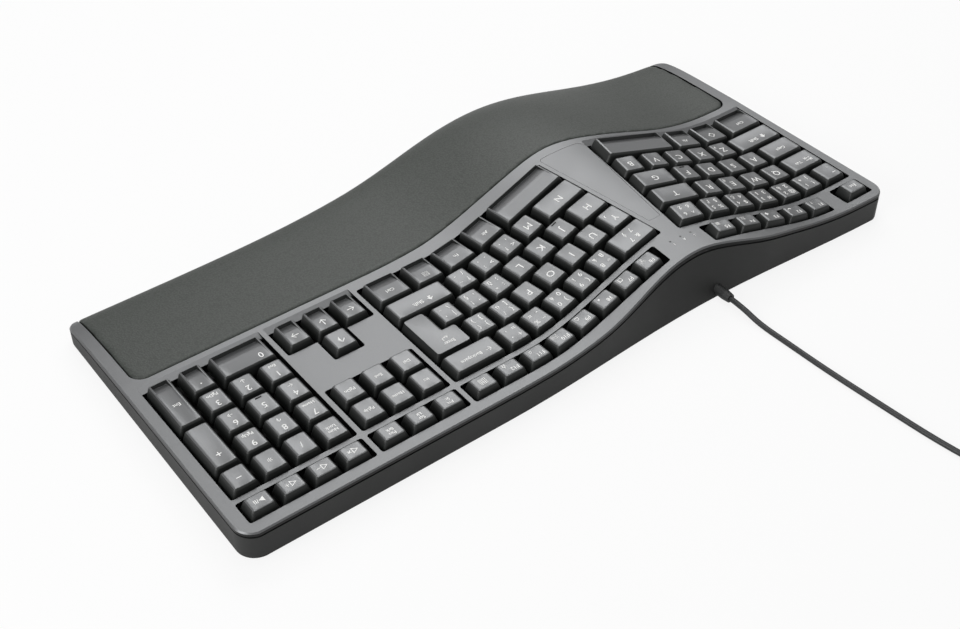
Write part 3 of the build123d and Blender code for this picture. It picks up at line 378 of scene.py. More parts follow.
# %% Read the key places
# In millimetres, as every size of a key below
key_pitch = 19.05
half_gap = 0.475
side_lean = 2.5
depth_lean = 1.15
roll_start = 5.8
roll_reach = 4.0
roll_taper = 0.4
short_depth = 14.4
short_lean = 1.8
faces_up = 0.85
weld_distance = 1e-6
short_nodes = {"esc_key", "function_keys_left", "function_keys_right", "print_keys", "media_keys"}
rolled_nodes = {
    "ctrl_key_right", "fn_menu_keys", "alt_key_right", "space_key_right", "ctrl_key_left",
    "system_key", "alt_key_left", "space_key_left", "numpad_enter_key", "numpad_zero_key",
    "numpad_point_key", "arrow_left_key", "arrow_down_key", "arrow_right_key",
}


def islands(mesh):
    """The separate solids of a mesh, as lists of faces."""
    left = set(mesh.faces)
    while left:
        start = left.pop()
        found = [start]
        queue = [start]
        while queue:
            for edge in queue.pop().edges:
                for face in edge.link_faces:
                    if face in left:
                        left.remove(face)
                        found.append(face)
                        queue.append(face)
        yield found


def key_frame_of(faces, kind):
    """The frame of one key on the middle of its top, with the cap's width and depth in mm."""
    planes = {}
    for face in faces:
        if face.normal.z > faces_up:
            reach = face.normal.dot(face.verts[0].co)
            name = (*[round(v, 2) for v in face.normal], round(reach, 4))
            planes.setdefault(name, []).append(face)
    top = max(planes.values(), key=lambda group: sum(f.calc_area() for f in group))
    inside = set(top)
    up = sum((f.normal * f.calc_area() for f in top), Vector()).normalized()
    rims = [e for f in top for e in f.edges if sum(g in inside for g in e.link_faces) == 1]
    lines = [e.verts[1].co - e.verts[0].co for e in rims]
    across = max((v for v in lines if abs(v.x) > 0.7 * v.length), key=lambda v: v.length)
    across = (across if across.x > 0 else -across).normalized()
    across = (across - up * across.dot(up)).normalized()
    along = up.cross(across)
    corners = [v.co for f in top for v in f.verts]
    xs = [c.dot(across) for c in corners]
    ys = [c.dot(along) for c in corners]
    height = sum(c.dot(up) for c in corners) / len(corners)
    width = (max(xs) - min(xs)) / MM + 2 * side_lean
    flat = (max(ys) - min(ys)) / MM
    lean = short_lean if kind == "short" else depth_lean
    depth = flat + depth_lean + roll_start if kind == "rolled" else flat + 2 * lean
    x_middle = (max(xs) + min(xs)) / 2
    y_middle = max(ys) - (depth / 2 - lean) * MM
    if kind == "enter":
        x_middle = max(xs) - (0.75 * key_pitch - half_gap - side_lean) * MM
        y_middle = max(ys) - (key_pitch - half_gap - depth_lean) * MM
    origin = across * x_middle + along * y_middle + up * height
    turn = Matrix((across, along, up)).transposed().to_4x4()
    return Matrix.Translation(origin) @ turn, round(width, 2), round(depth, 2)


def kind_of(name):
    """Which of the four cap shapes a node's keys have."""
    if name == "enter_key":
        return "enter"
    if name in short_nodes:
        return "short"
    return "rolled" if name in rolled_nodes else "plain"


bodies = frame["record"]["behaviour"]["bodies"]
body_of_node = {n: body for body, members in bodies.items() for n in members}
key_nodes = [n for n in nodes if n.endswith("_key") or "_keys" in n or "_key_" in n
             or "letters" in n or n.startswith("numpad_row") or n == "numpad_top_row"]
key_places = {}
for name in key_nodes:
    mesh = bmesh.new()
    mesh.from_mesh(nodes[name].data)
    bmesh.ops.remove_doubles(mesh, verts=mesh.verts, dist=weld_distance)
    mesh.normal_update()
    found = [key_frame_of(faces, kind_of(name)) for faces in islands(mesh)]
    mesh.free()
    row_step = 0.6 * key_pitch * MM
    found.sort(key=lambda f: (-round(f[0].translation.y / row_step) if name == "nav_keys" else 0,
                              f[0].translation.x))
    key_places[name] = found
print("keys:", sum(len(v) for v in key_places.values()), "in", len(key_places), "nodes")

# %% [markdown]
# ## Key finishes
#
# The caps are moulded in black ABS, and their tops carry a thin silver-grey coat. The coat is a
# satin lacquer: it spreads the light of the softbox into a broad sheen, which is why the tops on
# the right look much lighter than those on the left. The sides stay bare and dark.

# %% Key materials
top_coat = moulded("silver-grey satin coat", "737475", 0.36, 0.35, 0.006, Metallic=0.75)
cap_side = moulded("black ABS", "1E201F", 0.45, 0.3, 0.01)
sign_ink = moulded("white key ink", "FAFAF8", 0.6, 0.4, 0.004)
bar_plastic = moulded("black ABS bar", "1A1A1A", 0.4, 0.3, 0.005)
print("key finishes:", [m.name for m in (top_coat, cap_side, sign_ink, bar_plastic)])

# %% [markdown]
# ## One keycap
#
# A cap is a block that narrows upward, hollow from below, with a shallow dish along its top so
# that a finger finds its middle. It starts as a cube. The top is drawn in, the four standing
# edges are rounded, the top is cut into strips and the strips are lowered to make the dish. The
# keys nearest the user roll down at the front instead of ending in an edge.

# %% Keycap model
cap_height = 8.2
cap_wall = 1.2
hollow_depth = 6.4
corner_radius = 1.7
dish_depth = 0.32
dish_half = 6.55
dish_cuts = (0.08, 0.3, 0.52, 0.74, 0.92)
front_roll = 3.4
roll_cuts = (0.0, 0.12, 0.3, 0.5, 0.7, 0.86)
rolled_front_lean = 0.35


def dish(x, width):
    """How far the top lies below its rim at x, in mm, on a cap of a width."""
    half = width / 2 - side_lean
    spare = half - dish_half
    inner = max(0.0, abs(x) - max(spare, 0.0))
    reach = min(half, dish_half)
    return dish_depth * max(0.0, 1 - (inner / reach) ** 2)


def roll(y, depth):
    """How far the front of a rolled cap has come down at y, in mm."""
    start = roll_start - depth / 2
    part = max(0.0, (start - y) / (roll_start + roll_reach))
    return front_roll * (0.55 * part + 0.45 * part * part)


def cap_model(kind, width, depth):
    """A cap in metres, its top's middle at the origin."""
    lean = short_lean if kind == "short" else depth_lean
    front_lean = rolled_front_lean if kind == "rolled" else lean
    w, d, h = width * MM, depth * MM, cap_height * MM
    reach = roll_reach * MM if kind == "rolled" else 0.0
    cap = box("cap", (-w / 2, -d / 2 - reach, -h), (w / 2, d / 2, 0))
    edit(cap)
    upper = lambda v: v.co.z > -0.4 * h
    for sign in (-1, 1):
        shift(cap, lambda v: upper(v) and v.co.x * sign > 0, (-sign * side_lean * MM, 0, 0))
    shift(cap, lambda v: upper(v) and v.co.y > 0, (0, -lean * MM, 0))
    shift(cap, lambda v: upper(v) and v.co.y < 0, (0, front_lean * MM, 0))
    if kind == "rolled":
        for sign in (-1, 1):
            shift(cap, lambda v: v.co.y < 0 and v.co.x * sign > 0, (-sign * roll_taper * MM, 0, 0))
    pick(cap, "edges", lambda e: abs(e.verts[0].co.z - e.verts[1].co.z) > 0.5 * h)
    bpy.ops.mesh.bevel(offset=corner_radius * MM, segments=4, affect="EDGES")
    half = width / 2 - side_lean
    lines = [half - dish_half + part * dish_half for part in dish_cuts]
    for x in sorted(set([-v for v in lines] + lines)):
        pick(cap, "faces", lambda f: f.normal.z > 0.9)
        bpy.ops.mesh.bisect(plane_co=(x * MM, 0, 0), plane_no=(1, 0, 0))
    if kind == "rolled":
        for part in roll_cuts:
            pick(cap, "faces", lambda f: f.normal.z > 0.9)
            y = roll_start - depth / 2 - part * (roll_start + roll_reach)
            bpy.ops.mesh.bisect(plane_co=(0, y * MM, 0), plane_no=(0, 1, 0))
    mesh = bmesh.from_edit_mesh(cap.data)
    on_top = lambda v: v.co.z > -1e-6
    drops = sorted({round(dish(v.co.x / MM, width), 4) for v in mesh.verts if on_top(v)} - {0.0})
    tops = {v.index for v in mesh.verts if on_top(v)}
    for drop in drops:
        shift(cap, lambda v: v.index in tops and abs(dish(v.co.x / MM, width) - drop) < 2e-4,
              (0, 0, -drop * MM))
    if kind == "rolled":
        mesh = bmesh.from_edit_mesh(cap.data)
        rows = sorted({round(v.co.y / MM, 3) for v in mesh.verts if v.index in tops})
        for y in rows:
            if roll(y, depth) > 0:
                shift(cap, lambda v: v.index in tops and abs(v.co.y / MM - y) < 2e-3,
                      (0, 0, -roll(y, depth) * MM))
    pick(cap, "faces", lambda f: f.normal.z < -0.9)
    bpy.ops.mesh.inset(thickness=cap_wall * MM)
    roof = hollow_depth - (front_roll if kind == "rolled" else 0)
    pick(cap, "faces", lambda f: f.normal.z < -0.9
         and max(abs(v.co.x) for v in f.verts) < w / 2 - 0.5 * MM)
    bpy.ops.mesh.extrude_region_move(TRANSFORM_OT_translate={"value": (0, 0, roof * MM)})
    bpy.ops.transform.resize(value=(1 - 2 * side_lean / (width - 2 * cap_wall), 0.86, 1))
    done()
    return cap


# %% [markdown]
# ## The tall L-shaped key
#
# One key is shaped like an L turned over: wide at the back, narrow in front. It starts as the
# narrow column. A cut marks where the wide part begins, and the face beside it is extruded.

# %% Enter key model
enter_corner_radius = 1.6
enter_hollow_depth = 6.2


def enter_model():
    """The L-shaped cap in metres, its place's middle at the origin."""
    h = cap_height
    right = 0.75 * key_pitch - half_gap
    near, middle, back = -key_pitch + half_gap, half_gap, key_pitch - half_gap
    left = right - (key_pitch - 2 * half_gap)
    far_left = right - (1.5 * key_pitch - 2 * half_gap)
    cap = box("cap", [v * MM for v in (left, near, -h)], [v * MM for v in (right, back, 0)])
    edit(cap, "FACE")
    pick(cap, "faces", lambda f: True)
    bpy.ops.mesh.bisect(plane_co=(0, middle * MM, 0), plane_no=(0, 1, 0))
    pick(cap, "faces", lambda f: f.normal.x < -0.9 and f.calc_center_median().y > middle * MM)
    bpy.ops.mesh.extrude_region_move(TRANSFORM_OT_translate={"value": ((far_left - left) * MM, 0, 0)})
    at = lambda value, target: abs(value / MM - target) < 0.05
    top = lambda v: v.co.z > -1e-6
    moves = [
        (lambda v: at(v.co.x, right), (-side_lean, 0)),
        (lambda v: at(v.co.x, left), (side_lean, 0)),
        (lambda v: at(v.co.x, far_left), (side_lean, 0)),
        (lambda v: at(v.co.y, back), (0, -depth_lean)),
        (lambda v: at(v.co.y, near), (0, depth_lean)),
        (lambda v: at(v.co.y, middle) and v.co.x < (right - 4) * MM, (0, depth_lean)),
    ]
    for test, (dx, dy) in moves:
        shift(cap, lambda v: top(v) and test(v), (dx * MM, dy * MM, 0))
    pick(cap, "edges", lambda e: abs(e.verts[0].co.z - e.verts[1].co.z) > 4 * MM
         and len(e.link_faces) == 2 and e.calc_face_angle() > 0.5)
    bpy.ops.mesh.bevel(offset=enter_corner_radius * MM, segments=4, affect="EDGES")
    pick(cap, "faces", lambda f: f.normal.z < -0.9)
    bpy.ops.mesh.inset(thickness=cap_wall * MM)
    inner = lambda f: f.normal.z < -0.9 and all(
        abs(v.co.y / MM - near) > 0.6 and abs(v.co.y / MM - back) > 0.6
        and abs(v.co.x / MM - right) > 0.6 for v in f.verts)
    pick(cap, "faces", inner)
    bpy.ops.mesh.extrude_region_move(TRANSFORM_OT_translate={
        "value": (0, 0, enter_hollow_depth * MM)})
    bpy.ops.transform.resize(value=(0.86, 0.93, 1))
    done()
    return cap


# %% [markdown]
# ## From one cap to all of them
#
# Equal caps are modelled once. Each copy is turned and moved to its key, a square plunger is
# added under it, and the caps of one bank are joined, because a bank travels together.

# %% Build all keycaps
edge_radius = 0.45
coat_faces_up = 0.86
coat_reach = 4.2
plunger_half, plunger_foot, plunger_head = 3.2, -13.1, -1.2
enter_plunger_x = 4.8
models = {}


def finished_cap(kind, width, depth):
    """The mesh of a cap with its softened edges, its two finishes and its plunger."""
    key = (kind, width, depth)
    if key in models:
        return models[key]
    cap = enter_model() if kind == "enter" else cap_model(kind, width, depth)
    finish_with(cap, "BEVEL", width=edge_radius * MM, segments=3,
                limit_method="ANGLE", angle_limit=math.radians(38))
    cap.data.materials.append(cap_side)
    cap.data.materials.append(top_coat)
    for face in cap.data.polygons:
        coated = face.normal.z > coat_faces_up and face.center.z > -coat_reach * MM
        face.material_index = 1 if coated else 0
    plunger_x = enter_plunger_x if kind == "enter" else 0.0
    stem = box("stem", [v * MM for v in (plunger_x - plunger_half, -plunger_half, plunger_foot)],
               [v * MM for v in (plunger_x + plunger_half, plunger_half, plunger_head)])
    stem.data.materials.append(cap_side)
    cap = join([cap, stem], "cap")
    only(cap)
    bpy.ops.object.shade_smooth_by_angle(angle=math.radians(35))
    models[key] = cap.data
    bpy.data.objects.remove(cap)
    return models[key]


for name, places in key_places.items():
    copies = []
    for number, (place, width, depth) in enumerate(places):
        shape = finished_cap(kind_of(name), width, depth)
        copy = bpy.data.objects.new(f"cap_{number}", shape.copy())
        copy.data.transform(place)
        scene.collection.objects.link(copy)
        copies.append(copy)
    caps = join(copies, f"caps_{name}")
    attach(caps, body_of_node[name])
    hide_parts(name)
print("cap models:", len(models))

# %% [markdown]
# ## Signs on the keys
#
# The signs are printed, so they are flat white shapes a hair above the coat. Each is a text
# object turned into a mesh, laid into the dish of its key. A sign is written as its characters,
# its height, and its place from the middle of the key top, in millimetres.

# %% Tables of signs
def four(a, b, c, d):
    """Two signs above and two below, as on the keys for digits and punctuation."""
    return [(a, 3.2, -2.9, 3.0), (b, 3.2, 2.6, 3.0), (c, 3.2, -2.9, -3.3), (d, 3.2, 2.6, -3.3)]


def letter(big, small=""):
    """A capital letter, with a small second one at its lower right."""
    return [(big, 4.6, 0, 0.9)] + ([(small, 2.4, 4.0, -3.6)] if small else [])


def function(label, icon):
    """The short keys: a label at the upper left and an icon at the lower right."""
    return [(label, 2.6, -1.9, 2.0), (icon, 2.6, 2.6, -2.2)]


def words(*lines):
    """Lines of small words, one under the other."""
    gap = 3.0
    first = gap * (len(lines) - 1) / 2 + 0.9
    return [(line, 2.1, 0, first - gap * k) for k, line in enumerate(lines)]


signs = {
    "esc_key": [[("Esc", 2.6, 0, 0)]],
    "function_keys_left": [function("F1", "?"), function("F2", "↵"), function("F3", "✚"),
                           function("F4", "▤"), function("F5", "☰")],
    "function_keys_right": [function("F6", "✂"), function("F7", "❐"), function("F8", "▪"),
                            function("F9", "⌂"), function("F10", "✉"), function("F11", "⌕"),
                            function("F12", "☆"), [("▦", 4.2, 0, 0)]],
    "number_keys_left": [four("~", "", "`", ""), four("!", "1", "1", "+"), four("@", "2", "2", "ě"),
                         four("#", "3", "3", "š"), four("$", "4", "4", "č"),
                         four("%", "5", "5", "ř"), four("^", "6", "6", "ž")],
    "number_keys_right": [four("&", "7", "7", "ý"), four("*", "8", "8", "á"),
                          four("(", "9", "9", "í"), four(")", "0", "0", "é"),
                          four("_", "%", "-", "="), four("+", "ˇ", "=", "´")],
    "backspace_key": [[("←", 3.6, -9.5, 1.8), ("Backspace", 2.4, 2.6, 1.8)]],
    "tab_key": [[("↹", 3.6, -5.2, 1.4), ("Tab", 2.4, 3.4, 1.4)]],
    "top_letters_left": [letter("Q"), letter("W"), letter("E", "€"), letter("R"), letter("T")],
    "top_letters_right": [letter("Y", "z"), letter("U"), letter("I"), letter("O"), letter("P"),
                          four("{", "/", "[", "ú"), four("}", "(", "]", ")")],
    "enter_key": [[("Enter", 2.4, 0, 12.4), ("↵", 3.6, 0, 8.2)]],
    "caps_key": [[("Caps", 2.5, 0, 1.2)]],
    "home_letters_left": [letter("A"), letter("S"), letter("D"), letter("F"), letter("G")],
    "home_letters_right": [letter("H"), letter("J"), letter("K"), letter("L"),
                           four(":", "\"", ";", "ů"), four("\"", "!", "'", "§"),
                           four("|", "'", "\\", "¨")],
    "shift_key_left": [[("⬆", 3.2, -6.2, 2.3), ("Shift", 2.8, 2.2, 2.3)]],
    "lower_letters_left": [letter("Z", "y"), letter("X"), letter("C"), letter("V"), letter("B")],
    "lower_letters_right": [letter("N"), letter("M"), four("<", "?", ",", ","),
                            four(">", ":", ".", "."), four("?", "_", "/", "-")],
    "shift_key_right": [[("⬆", 3.2, -6.2, 2.3), ("Shift", 2.8, 2.2, 2.3)]],
    "ctrl_key_left": [[("Ctrl", 2.4, 0, 1.2)]],
    "system_key": [[("◇", 3.8, 0, 1.4)]],
    "alt_key_left": [[("Alt", 2.4, 0, 1.2)]],
    "alt_key_right": [[("Alt", 2.4, 0, 1.2)]],
    "fn_menu_keys": [[("Fn", 2.4, 0, 1.2)], [("▤", 3.6, 0, 2.0)]],
    "ctrl_key_right": [[("Ctrl", 2.4, 0, 1.2)]],
    "nav_keys": [words("Ins"), words("Home"), words("PgUp"),
                 words("Del"), words("End"), words("PgDn")],
    "print_keys": [words("Prt", "Sc"), words("Scr", "Lk"), words("Pau", "Brk")],
    "media_keys": [[("◁×", 3.2, 0, 0)], [("◁−", 3.2, 0, 0)],
                   [("◁+", 3.2, 0, 0)], [("▶/II", 2.6, 0, 0)]],
    "numpad_top_row": [words("Num", "Lock"), [("/", 4.0, 0, 0.8)],
                       [("*", 4.6, 0, 0)], [("−", 4.4, 0, 0.8)]],
    "numpad_row_789": [[("7", 4.2, 0, 3.2), ("Home", 2.1, 0, -3.9)],
                       [("8", 4.2, 0, 3.2), ("↑", 3.0, 0, -3.6)],
                       [("9", 4.2, 0, 3.2), ("PgUp", 2.2, 0, -3.9)]],
    "numpad_row_456": [[("4", 4.2, 0, 3.2), ("←", 3.0, 0, -3.6)], [("5", 4.2, 0, 1.0)],
                       [("6", 4.2, 0, 3.2), ("→", 3.0, 0, -3.6)]],
    "numpad_row_123": [[("1", 4.2, 0, 3.2), ("End", 2.1, 0, -3.9)],
                       [("2", 4.2, 0, 3.2), ("↓", 3.0, 0, -3.6)],
                       [("3", 4.2, 0, 3.2), ("PgDn", 2.2, 0, -3.9)]],
    "numpad_plus_key": [[("+", 4.6, 0, 8.5)]],
    "numpad_enter_key": [[("Ent", 2.4, 0, 0.5)]],
    "numpad_zero_key": [[("0", 4.2, -9.6, 3.0)]],
    "numpad_point_key": [[("·", 5.0, 0, 3.0)]],
    "arrow_up_key": [[("↑", 5.0, 0, 0.8)]],
    "arrow_left_key": [[("←", 4.6, 0, 0.8)]],
    "arrow_down_key": [[("↓", 5.0, 0, 0.8)]],
    "arrow_right_key": [[("→", 4.6, 0, 0.8)]],
}

# %% Print the signs
ink_lift = 0.07
ink_spread = 0.05
# The outlines of these cross themselves when they are spread
unspread = "M4*←→↑↓✂✉▤▦"
capital_share = 0.69
glyph_meshes = {}


def sign_mesh(text, height):
    """A flat mesh of some characters, with capitals of a height in mm, centred on its own box.

    A word is centred on the height of its capitals, so that a tail below doesn't lift it.
    """
    if (text, height) not in glyph_meshes:
        bpy.ops.object.select_all(action="DESELECT")
        bpy.ops.object.text_add()
        words_object = bpy.context.object
        data = words_object.data
        data.body = text
        data.size = height * MM / capital_share
        data.resolution_u = 3
        data.offset = 0.0 if set(text) & set(unspread) else ink_spread * MM
        data.align_x = "CENTER"
        bpy.ops.object.convert(target="MESH")
        mesh = bpy.context.object.data.copy()
        bpy.data.objects.remove(bpy.context.object)
        ys = [v.co.y for v in mesh.vertices]
        xs = [v.co.x for v in mesh.vertices]
        middle = (min(ys) + max(ys)) / 2 if len(text) == 1 else height * MM / 2
        mesh.transform(Matrix.Translation((-(min(xs) + max(xs)) / 2, -middle, 0)))
        glyph_meshes[(text, height)] = mesh
    return glyph_meshes[(text, height)]


def printed(marks, place, width, depth, kind):
    """The signs of one key, as objects laid into its dish."""
    made = []
    for text, height, x, y in marks:
        if not text:
            continue
        mesh = sign_mesh(text, height).copy()
        for vertex in mesh.vertices:
            vertex.co.x += x * MM
            vertex.co.y += y * MM
            sunk = 0.0 if kind == "enter" else dish(vertex.co.x / MM, width)
            if kind == "rolled":
                sunk += roll(vertex.co.y / MM, depth)
            vertex.co.z = (ink_lift - sunk) * MM
        mesh.transform(place)
        sign = bpy.data.objects.new("sign", mesh)
        scene.collection.objects.link(sign)
        made.append(sign)
    return made


for name, keys in signs.items():
    places = key_places[name]
    if len(keys) != len(places):
        print("signs and keys differ on", name, len(keys), len(places))
    made = []
    for marks, (place, width, depth) in zip(keys, places):
        made += printed(marks, place, width, depth, kind_of(name))
    print_piece = join(made, f"signs_{name}")
    print_piece.data.materials.clear()
    print_piece.data.materials.append(sign_ink)
    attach(print_piece, body_of_node[name])
print("sign meshes:", len(glyph_meshes))


# %% Signs by the lock lights
# Each sign with the place of its light, in mm. A ray from above finds the cover's surface there
light_signs = [("1", -77.5, 85.9), ("A", -85.7, 85.9), ("↓", -93.4, 86.4)]
light_sign_height = 1.7
beside_x, behind_y = -0.6, 3.2
ray_start_z = 0.08
light_sign_lift = 0.05
made = []
for text, x, y in light_signs:
    mesh = sign_mesh(text, light_sign_height).copy()
    spot = (x + beside_x) * MM, (y + behind_y) * MM
    _, over, up, _ = nodes["top_cover"].ray_cast((*spot, ray_start_z), (0, 0, -1))
    across = (Vector((1, 0, 0)) - up * up.x).normalized()
    turn = Matrix((across, up.cross(across), up)).transposed().to_4x4()
    mesh.transform(Matrix.Translation(over + up * light_sign_lift * MM) @ turn)
    sign = bpy.data.objects.new("light_sign", mesh)
    scene.collection.objects.link(sign)
    made.append(sign)
light_print = join(made, "signs_lock_lights")
light_print.data.materials.clear()
light_print.data.materials.append(sign_ink)
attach(light_print, "case")
print("signs by the lights:", len(light_signs))

# %% [markdown]
# ## Bars for the fingertips
#
# Three keys carry a small raised bar near their front edge, so that the hands find their place
# without a look. It is moulded with the cap: a low bar with rounded edges that stands a little
# over the top. Here it is a cube, stretched and bevelled, with most of its height in the cap.

# %% Fingertip bars
bar_low, bar_high = (-2.0, -6.3, -0.5), (2.0, -5.5, 0.15)


def fingertip_bar(name, number):
    """A bar on one key of a node, counted from the left."""
    place = key_places[name][number][0]
    low, high = [v * MM for v in bar_low], [v * MM for v in bar_high]
    bar = box(f"bar_{name}_{number}", low, high)
    finish_with(bar, "BEVEL", width=0.3 * MM, segments=3)
    bar.data.transform(place)
    bar.data.materials.append(bar_plastic)
    only(bar)
    bpy.ops.object.shade_smooth_by_angle(angle=math.radians(40))
    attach(bar, body_of_node[name])


fingertip_bar("home_letters_left", 3)
fingertip_bar("home_letters_right", 1)
fingertip_bar("numpad_row_456", 1)

# %% [markdown]
# ## The palm rest
#
# The palm rest is a thin soft skin over foam, drawn tight over the edge of its recess. Skin and
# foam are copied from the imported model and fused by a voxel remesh, which also rounds the
# wrapped edges. A few smoothing steps then let the edge roll into the seam as leather does. The
# skin is a coated cloth pressed with a fine pebble grain about a millimetre across.

# %% Palm rest shape
voxel = 1.5
smoothing_steps = 5
pad_parts = []
for name in ("palm_rest_pad", "palm_rest_foam"):
    part = bpy.data.objects.new(f"copy_{name}", nodes[name].data.copy())
    scene.collection.objects.link(part)
    pad_parts.append(part)
pad = join(pad_parts, "palm_rest")
edit(pad)
pick(pad, "verts", lambda v: True)
bpy.ops.mesh.remove_doubles(threshold=weld_distance)
done()
finish_with(pad, "REMESH", mode="VOXEL", voxel_size=voxel * MM, use_smooth_shade=True)
finish_with(pad, "SMOOTH", factor=0.5, iterations=smoothing_steps)
print("palm rest faces:", len(pad.data.polygons))

# %% Leatherette
hide, tree, surface = new_material("pebbled black leatherette")
place = add_node(tree, "ShaderNodeTexCoord").outputs["Object"]
pebbles = add_node(tree, "ShaderNodeTexVoronoi", {"feature": "SMOOTH_F1"}, {
    "Vector": place, "Scale": 1 / (1.1 * MM), "Smoothness": 0.6, "Randomness": 0.9})
creases = add_node(tree, "ShaderNodeTexNoise", inputs={
    "Vector": place, "Scale": 1 / (3.0 * MM), "Detail": 4.0, "Roughness": 0.6})
height = add_node(tree, "ShaderNodeMath", {"operation": "MULTIPLY_ADD"}, {
    0: creases.outputs["Fac"], 1: 0.5, 2: pebbles.outputs["Distance"]})
relief = add_node(tree, "ShaderNodeBump", {"invert": True}, {
    "Height": height.outputs[0], "Strength": 0.6, "Distance": 0.12 * MM})
# The valleys between the pebbles are painted darker: painted shade in the creases of the grain.
pebble_valley_shade = add_node(tree, "ShaderNodeMapRange", inputs={
    "Value": pebbles.outputs["Distance"], "From Min": 0.0, "From Max": 0.7,
    "To Min": 0.0, "To Max": 1.0})
hide_colour = add_node(tree, "ShaderNodeMix", {"data_type": "RGBA"}, {
    "Factor": pebble_valley_shade.outputs["Result"], 6: linear("444844"), 7: linear("2F332F")})
leather = add_node(tree, "ShaderNodeBsdfPrincipled", inputs={
    "Base Color": hide_colour.outputs[2], "Roughness": 0.52, "Normal": relief.outputs["Normal"]})
tree.links.new(leather.outputs["BSDF"], surface)
pad.data.materials.clear()
pad.data.materials.append(hide)
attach(pad, "case")
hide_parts("palm_rest_pad", "palm_rest_foam")
print("palm rest finish:", hide.name)

# %% [markdown]
# ## The cover
#
# The cover is grey, a satin lacquer with a fine metallic flake. Its steep faces, such as the walls of
# the key pockets, are painted near-black instead: painted shade for the shade that falls in the
# pockets. The direction a face points in tells the two apart.

# %% Cover paint
paint, tree, surface = new_material("grey satin lacquer with painted wall shade")
place = add_node(tree, "ShaderNodeTexCoord").outputs["Object"]
flake = add_node(tree, "ShaderNodeTexNoise", inputs={
    "Vector": place, "Scale": 1 / (0.35 * MM), "Detail": 1.0})
shade = add_node(tree, "ShaderNodeMix", {"data_type": "RGBA"}, {
    "Factor": flake.outputs["Fac"], 6: linear("6D6E6F"), 7: linear("777879")})
facing = add_node(tree, "ShaderNodeNewGeometry")
upward = add_node(tree, "ShaderNodeSeparateXYZ", inputs={"Vector": facing.outputs["True Normal"]})
# Faces that tilt far from up get the near-black 202121 below: painted shade on the pocket walls and
# the lower part of the cover's rim.
slope_painted_shade = add_node(tree, "ShaderNodeMapRange", inputs={
    "Value": upward.outputs["Z"], "From Min": 0.3, "From Max": 0.62})
colour = add_node(tree, "ShaderNodeMix", {"data_type": "RGBA"}, {
    "Factor": slope_painted_shade.outputs["Result"], 6: linear("202121"), 7: shade.outputs[2]})
relief = add_node(tree, "ShaderNodeBump", inputs={
    "Height": flake.outputs["Fac"], "Strength": 1.0, "Distance": 0.008 * MM})
lacquer = add_node(tree, "ShaderNodeBsdfPrincipled", inputs={
    "Base Color": colour.outputs[2], "Metallic": 0.7, "Roughness": 0.4,
    "Normal": relief.outputs["Normal"]})
tree.links.new(lacquer.outputs["BSDF"], surface)
dress("top_cover", paint)
print("cover finish:", paint.name)

# %% [markdown]
# ## The other parts of the case
#
# The tub is black ABS with a spark-eroded texture, which scatters light more than the smooth
# caps do. Inside lie a black frame, silicone domes, the printed film, a zinc-plated plate and a
# small green board. Each gets the finish its real counterpart has.

# %% Case materials
dress("bottom_case", moulded("black textured ABS", "1B1C1B", 0.6, 0.5, 0.03))
dress("center_trim", moulded("grey lacquered inlay", "6B6C6D", 0.34, 0.35, 0.006, Metallic=0.7))
dress("key_frame", moulded("black guide frame", "161616", 0.6, 0.5, 0.02))
dress("rubber_domes", moulded("milky silicone", "CFCFC8", 0.45, 1.0, 0.01))
dress("membrane_sheet", moulded("printed polyester film", "C9CCD0", 0.25, 2.0, 0.004))
dress("backing_plate", moulded("zinc-plated steel", "A9ACAE", 0.35, 1.5, 0.004, Metallic=1.0))
dress("controller_pcb", moulded("green solder mask", "1F5A34", 0.35, 1.0, 0.01))
dress("indicator_lenses", moulded("smoked light pipe", "3A3A3A", 0.2, 1.0, 0.002))
dress("case_screws", moulded("black zinc steel", "4A4A4C", 0.4, 0.4, 0.01, Metallic=1.0))
dress("rubber_feet", moulded("black rubber pad", "1C1C1C", 0.8, 0.4, 0.03))
dress("strain_relief", moulded("soft PVC boot", "262727", 0.5, 0.5, 0.02))
dress("cord_tie", moulded("black nylon tie", "1B1B1B", 0.5, 0.5, 0.02))
for name in nodes:
    if name.startswith("tilt_foot"):
        dress(name, moulded(f"black ABS {name}", "262727", 0.55, 0.5, 0.03))
print("materials so far:", len(bpy.data.materials))

# %% [markdown]
# ## The plug
#
# At the lead's end is a flat plug: a soft boot, a moulded grip with a sunk thumb rest on each
# side, and a folded steel shell with a plastic tongue and four pins inside. The grip starts as a
# cube, and its upper and lower faces are inset and pushed in a little. The shell starts as a
# cube too: its far end is inset and extruded inward, which leaves a thin folded wall. The boot
# is a cone that narrows toward the lead.

# %% Plug
plug_end, plug_y, plug_z = -190.8, 376.0, 4.0


def around(x_low, x_high, half_y, half_z, shift_z=0.0):
    """Corners of a box round the plug's line, at distances from where the lead ends."""
    low = ((plug_end - x_high) * MM, (plug_y - half_y) * MM, (plug_z + shift_z - half_z) * MM)
    high = ((plug_end - x_low) * MM, (plug_y + half_y) * MM, (plug_z + shift_z + half_z) * MM)
    return low, high


plug_black = moulded("black plug moulding", "222323", 0.45, 0.5, 0.02)
plug_steel = moulded("nickel-plated shell", "B9B7B0", 0.28, 0.8, 0.003, Metallic=1.0)
tongue_black = moulded("black tongue", "141414", 0.5, 0.5, 0.01)

grip = box("grip", *around(8.5, 28.0, 7.8, 3.9))
finish_with(grip, "BEVEL", width=1.9 * MM, segments=4)
edit(grip, "FACE")
for sign in (-1, 1):
    pick(grip, "faces", lambda f: f.normal.z * sign > 0.99)
    bpy.ops.mesh.inset(thickness=2.2 * MM)
    bpy.ops.transform.translate(value=(0, 0, -sign * 0.5 * MM))
done()
grip.data.materials.append(plug_black)

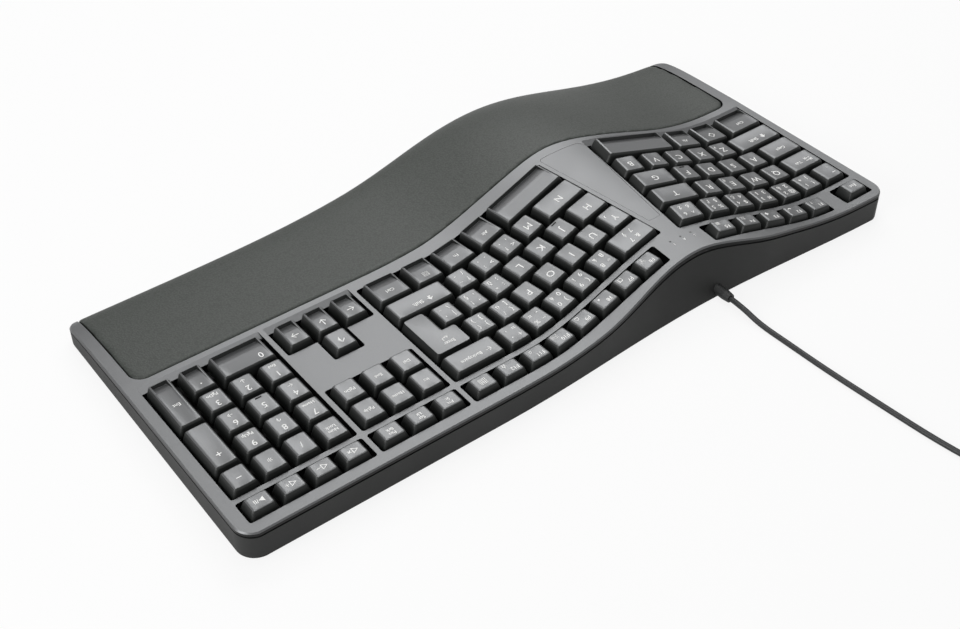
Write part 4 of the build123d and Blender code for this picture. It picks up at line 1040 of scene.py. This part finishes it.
boot_length, boot_middle = 9.5, 4.6
bpy.ops.object.select_all(action="DESELECT")
bpy.ops.mesh.primitive_cone_add(
    vertices=32, radius1=3.4 * MM, radius2=2.6 * MM, depth=boot_length * MM,
    rotation=(0, math.radians(90), 0),
    location=((plug_end - boot_middle) * MM, plug_y * MM, plug_z * MM))
boot = bpy.context.object
only(boot)
bpy.ops.object.transform_apply(location=True, rotation=True, scale=True)
boot.data.materials.append(plug_black)

shell = box("shell", *around(27.5, 40.0, 6.0, 2.25))
edit(shell, "EDGE")
pick(shell, "edges", lambda e: abs(e.verts[0].co.x - e.verts[1].co.x) > 8 * MM)
bpy.ops.mesh.bevel(offset=0.5 * MM, segments=2, affect="EDGES")
bpy.context.tool_settings.mesh_select_mode = (False, False, True)
pick(shell, "faces", lambda f: f.normal.x < -0.95)
bpy.ops.mesh.inset(thickness=0.35 * MM)
bpy.ops.mesh.extrude_region_move(TRANSFORM_OT_translate={"value": (11.5 * MM, 0, 0)})
done()
shell.data.materials.append(plug_steel)

tongue = box("tongue", *around(28.5, 39.4, 5.5, 0.8, -0.9))
finish_with(tongue, "BEVEL", width=0.2 * MM, segments=2)
tongue.data.materials.append(tongue_black)
pin_count, pin_pitch = 4, 2.4
pins = []
for k in range(pin_count):
    pin = box(f"pin_{k}", *around(32.0, 39.0, 0.5, 0.05, -0.08))
    pin.data.transform(Matrix.Translation((0, (k - (pin_count - 1) / 2) * pin_pitch * MM, 0)))
    finish_with(pin, "BEVEL", width=0.02 * MM, segments=1)
    pin.data.materials.append(plug_steel)
    pins.append(pin)
plug = join([grip, boot, shell, tongue] + pins, "plug")
only(plug)
bpy.ops.object.shade_smooth_by_angle(angle=math.radians(35))
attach(plug, "case")
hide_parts("usb_plug")
print("plug faces:", len(plug.data.polygons))


def measured(curve_object):
    """Length of a curve's own line."""
    plain = curve_object.copy()
    plain.data = curve_object.data.copy()
    plain.data.bevel_depth = 0
    scene.collection.objects.link(plain)
    bpy.context.view_layer.update()
    line = bpy.data.meshes.new_from_object(plain)
    total = sum((line.vertices[e.vertices[0]].co - line.vertices[e.vertices[1]].co).length
                for e in line.edges)
    bpy.data.objects.remove(plain)
    return total


lead_length = measured(lead)
print("lead length:", round(lead_length, 3))
[v * MM for v in lead_points[0]]

# %% [markdown]
# ## Sizes, and the end
#
# The boxes of the imported keyboard and of the dressed one are both printed.

# %% Sizes
visual_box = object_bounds()
sizes = [[[round(v, 5) for v in corner] for corner in box_] for box_ in (cad_box, visual_box)]
print("boxes:", sizes)
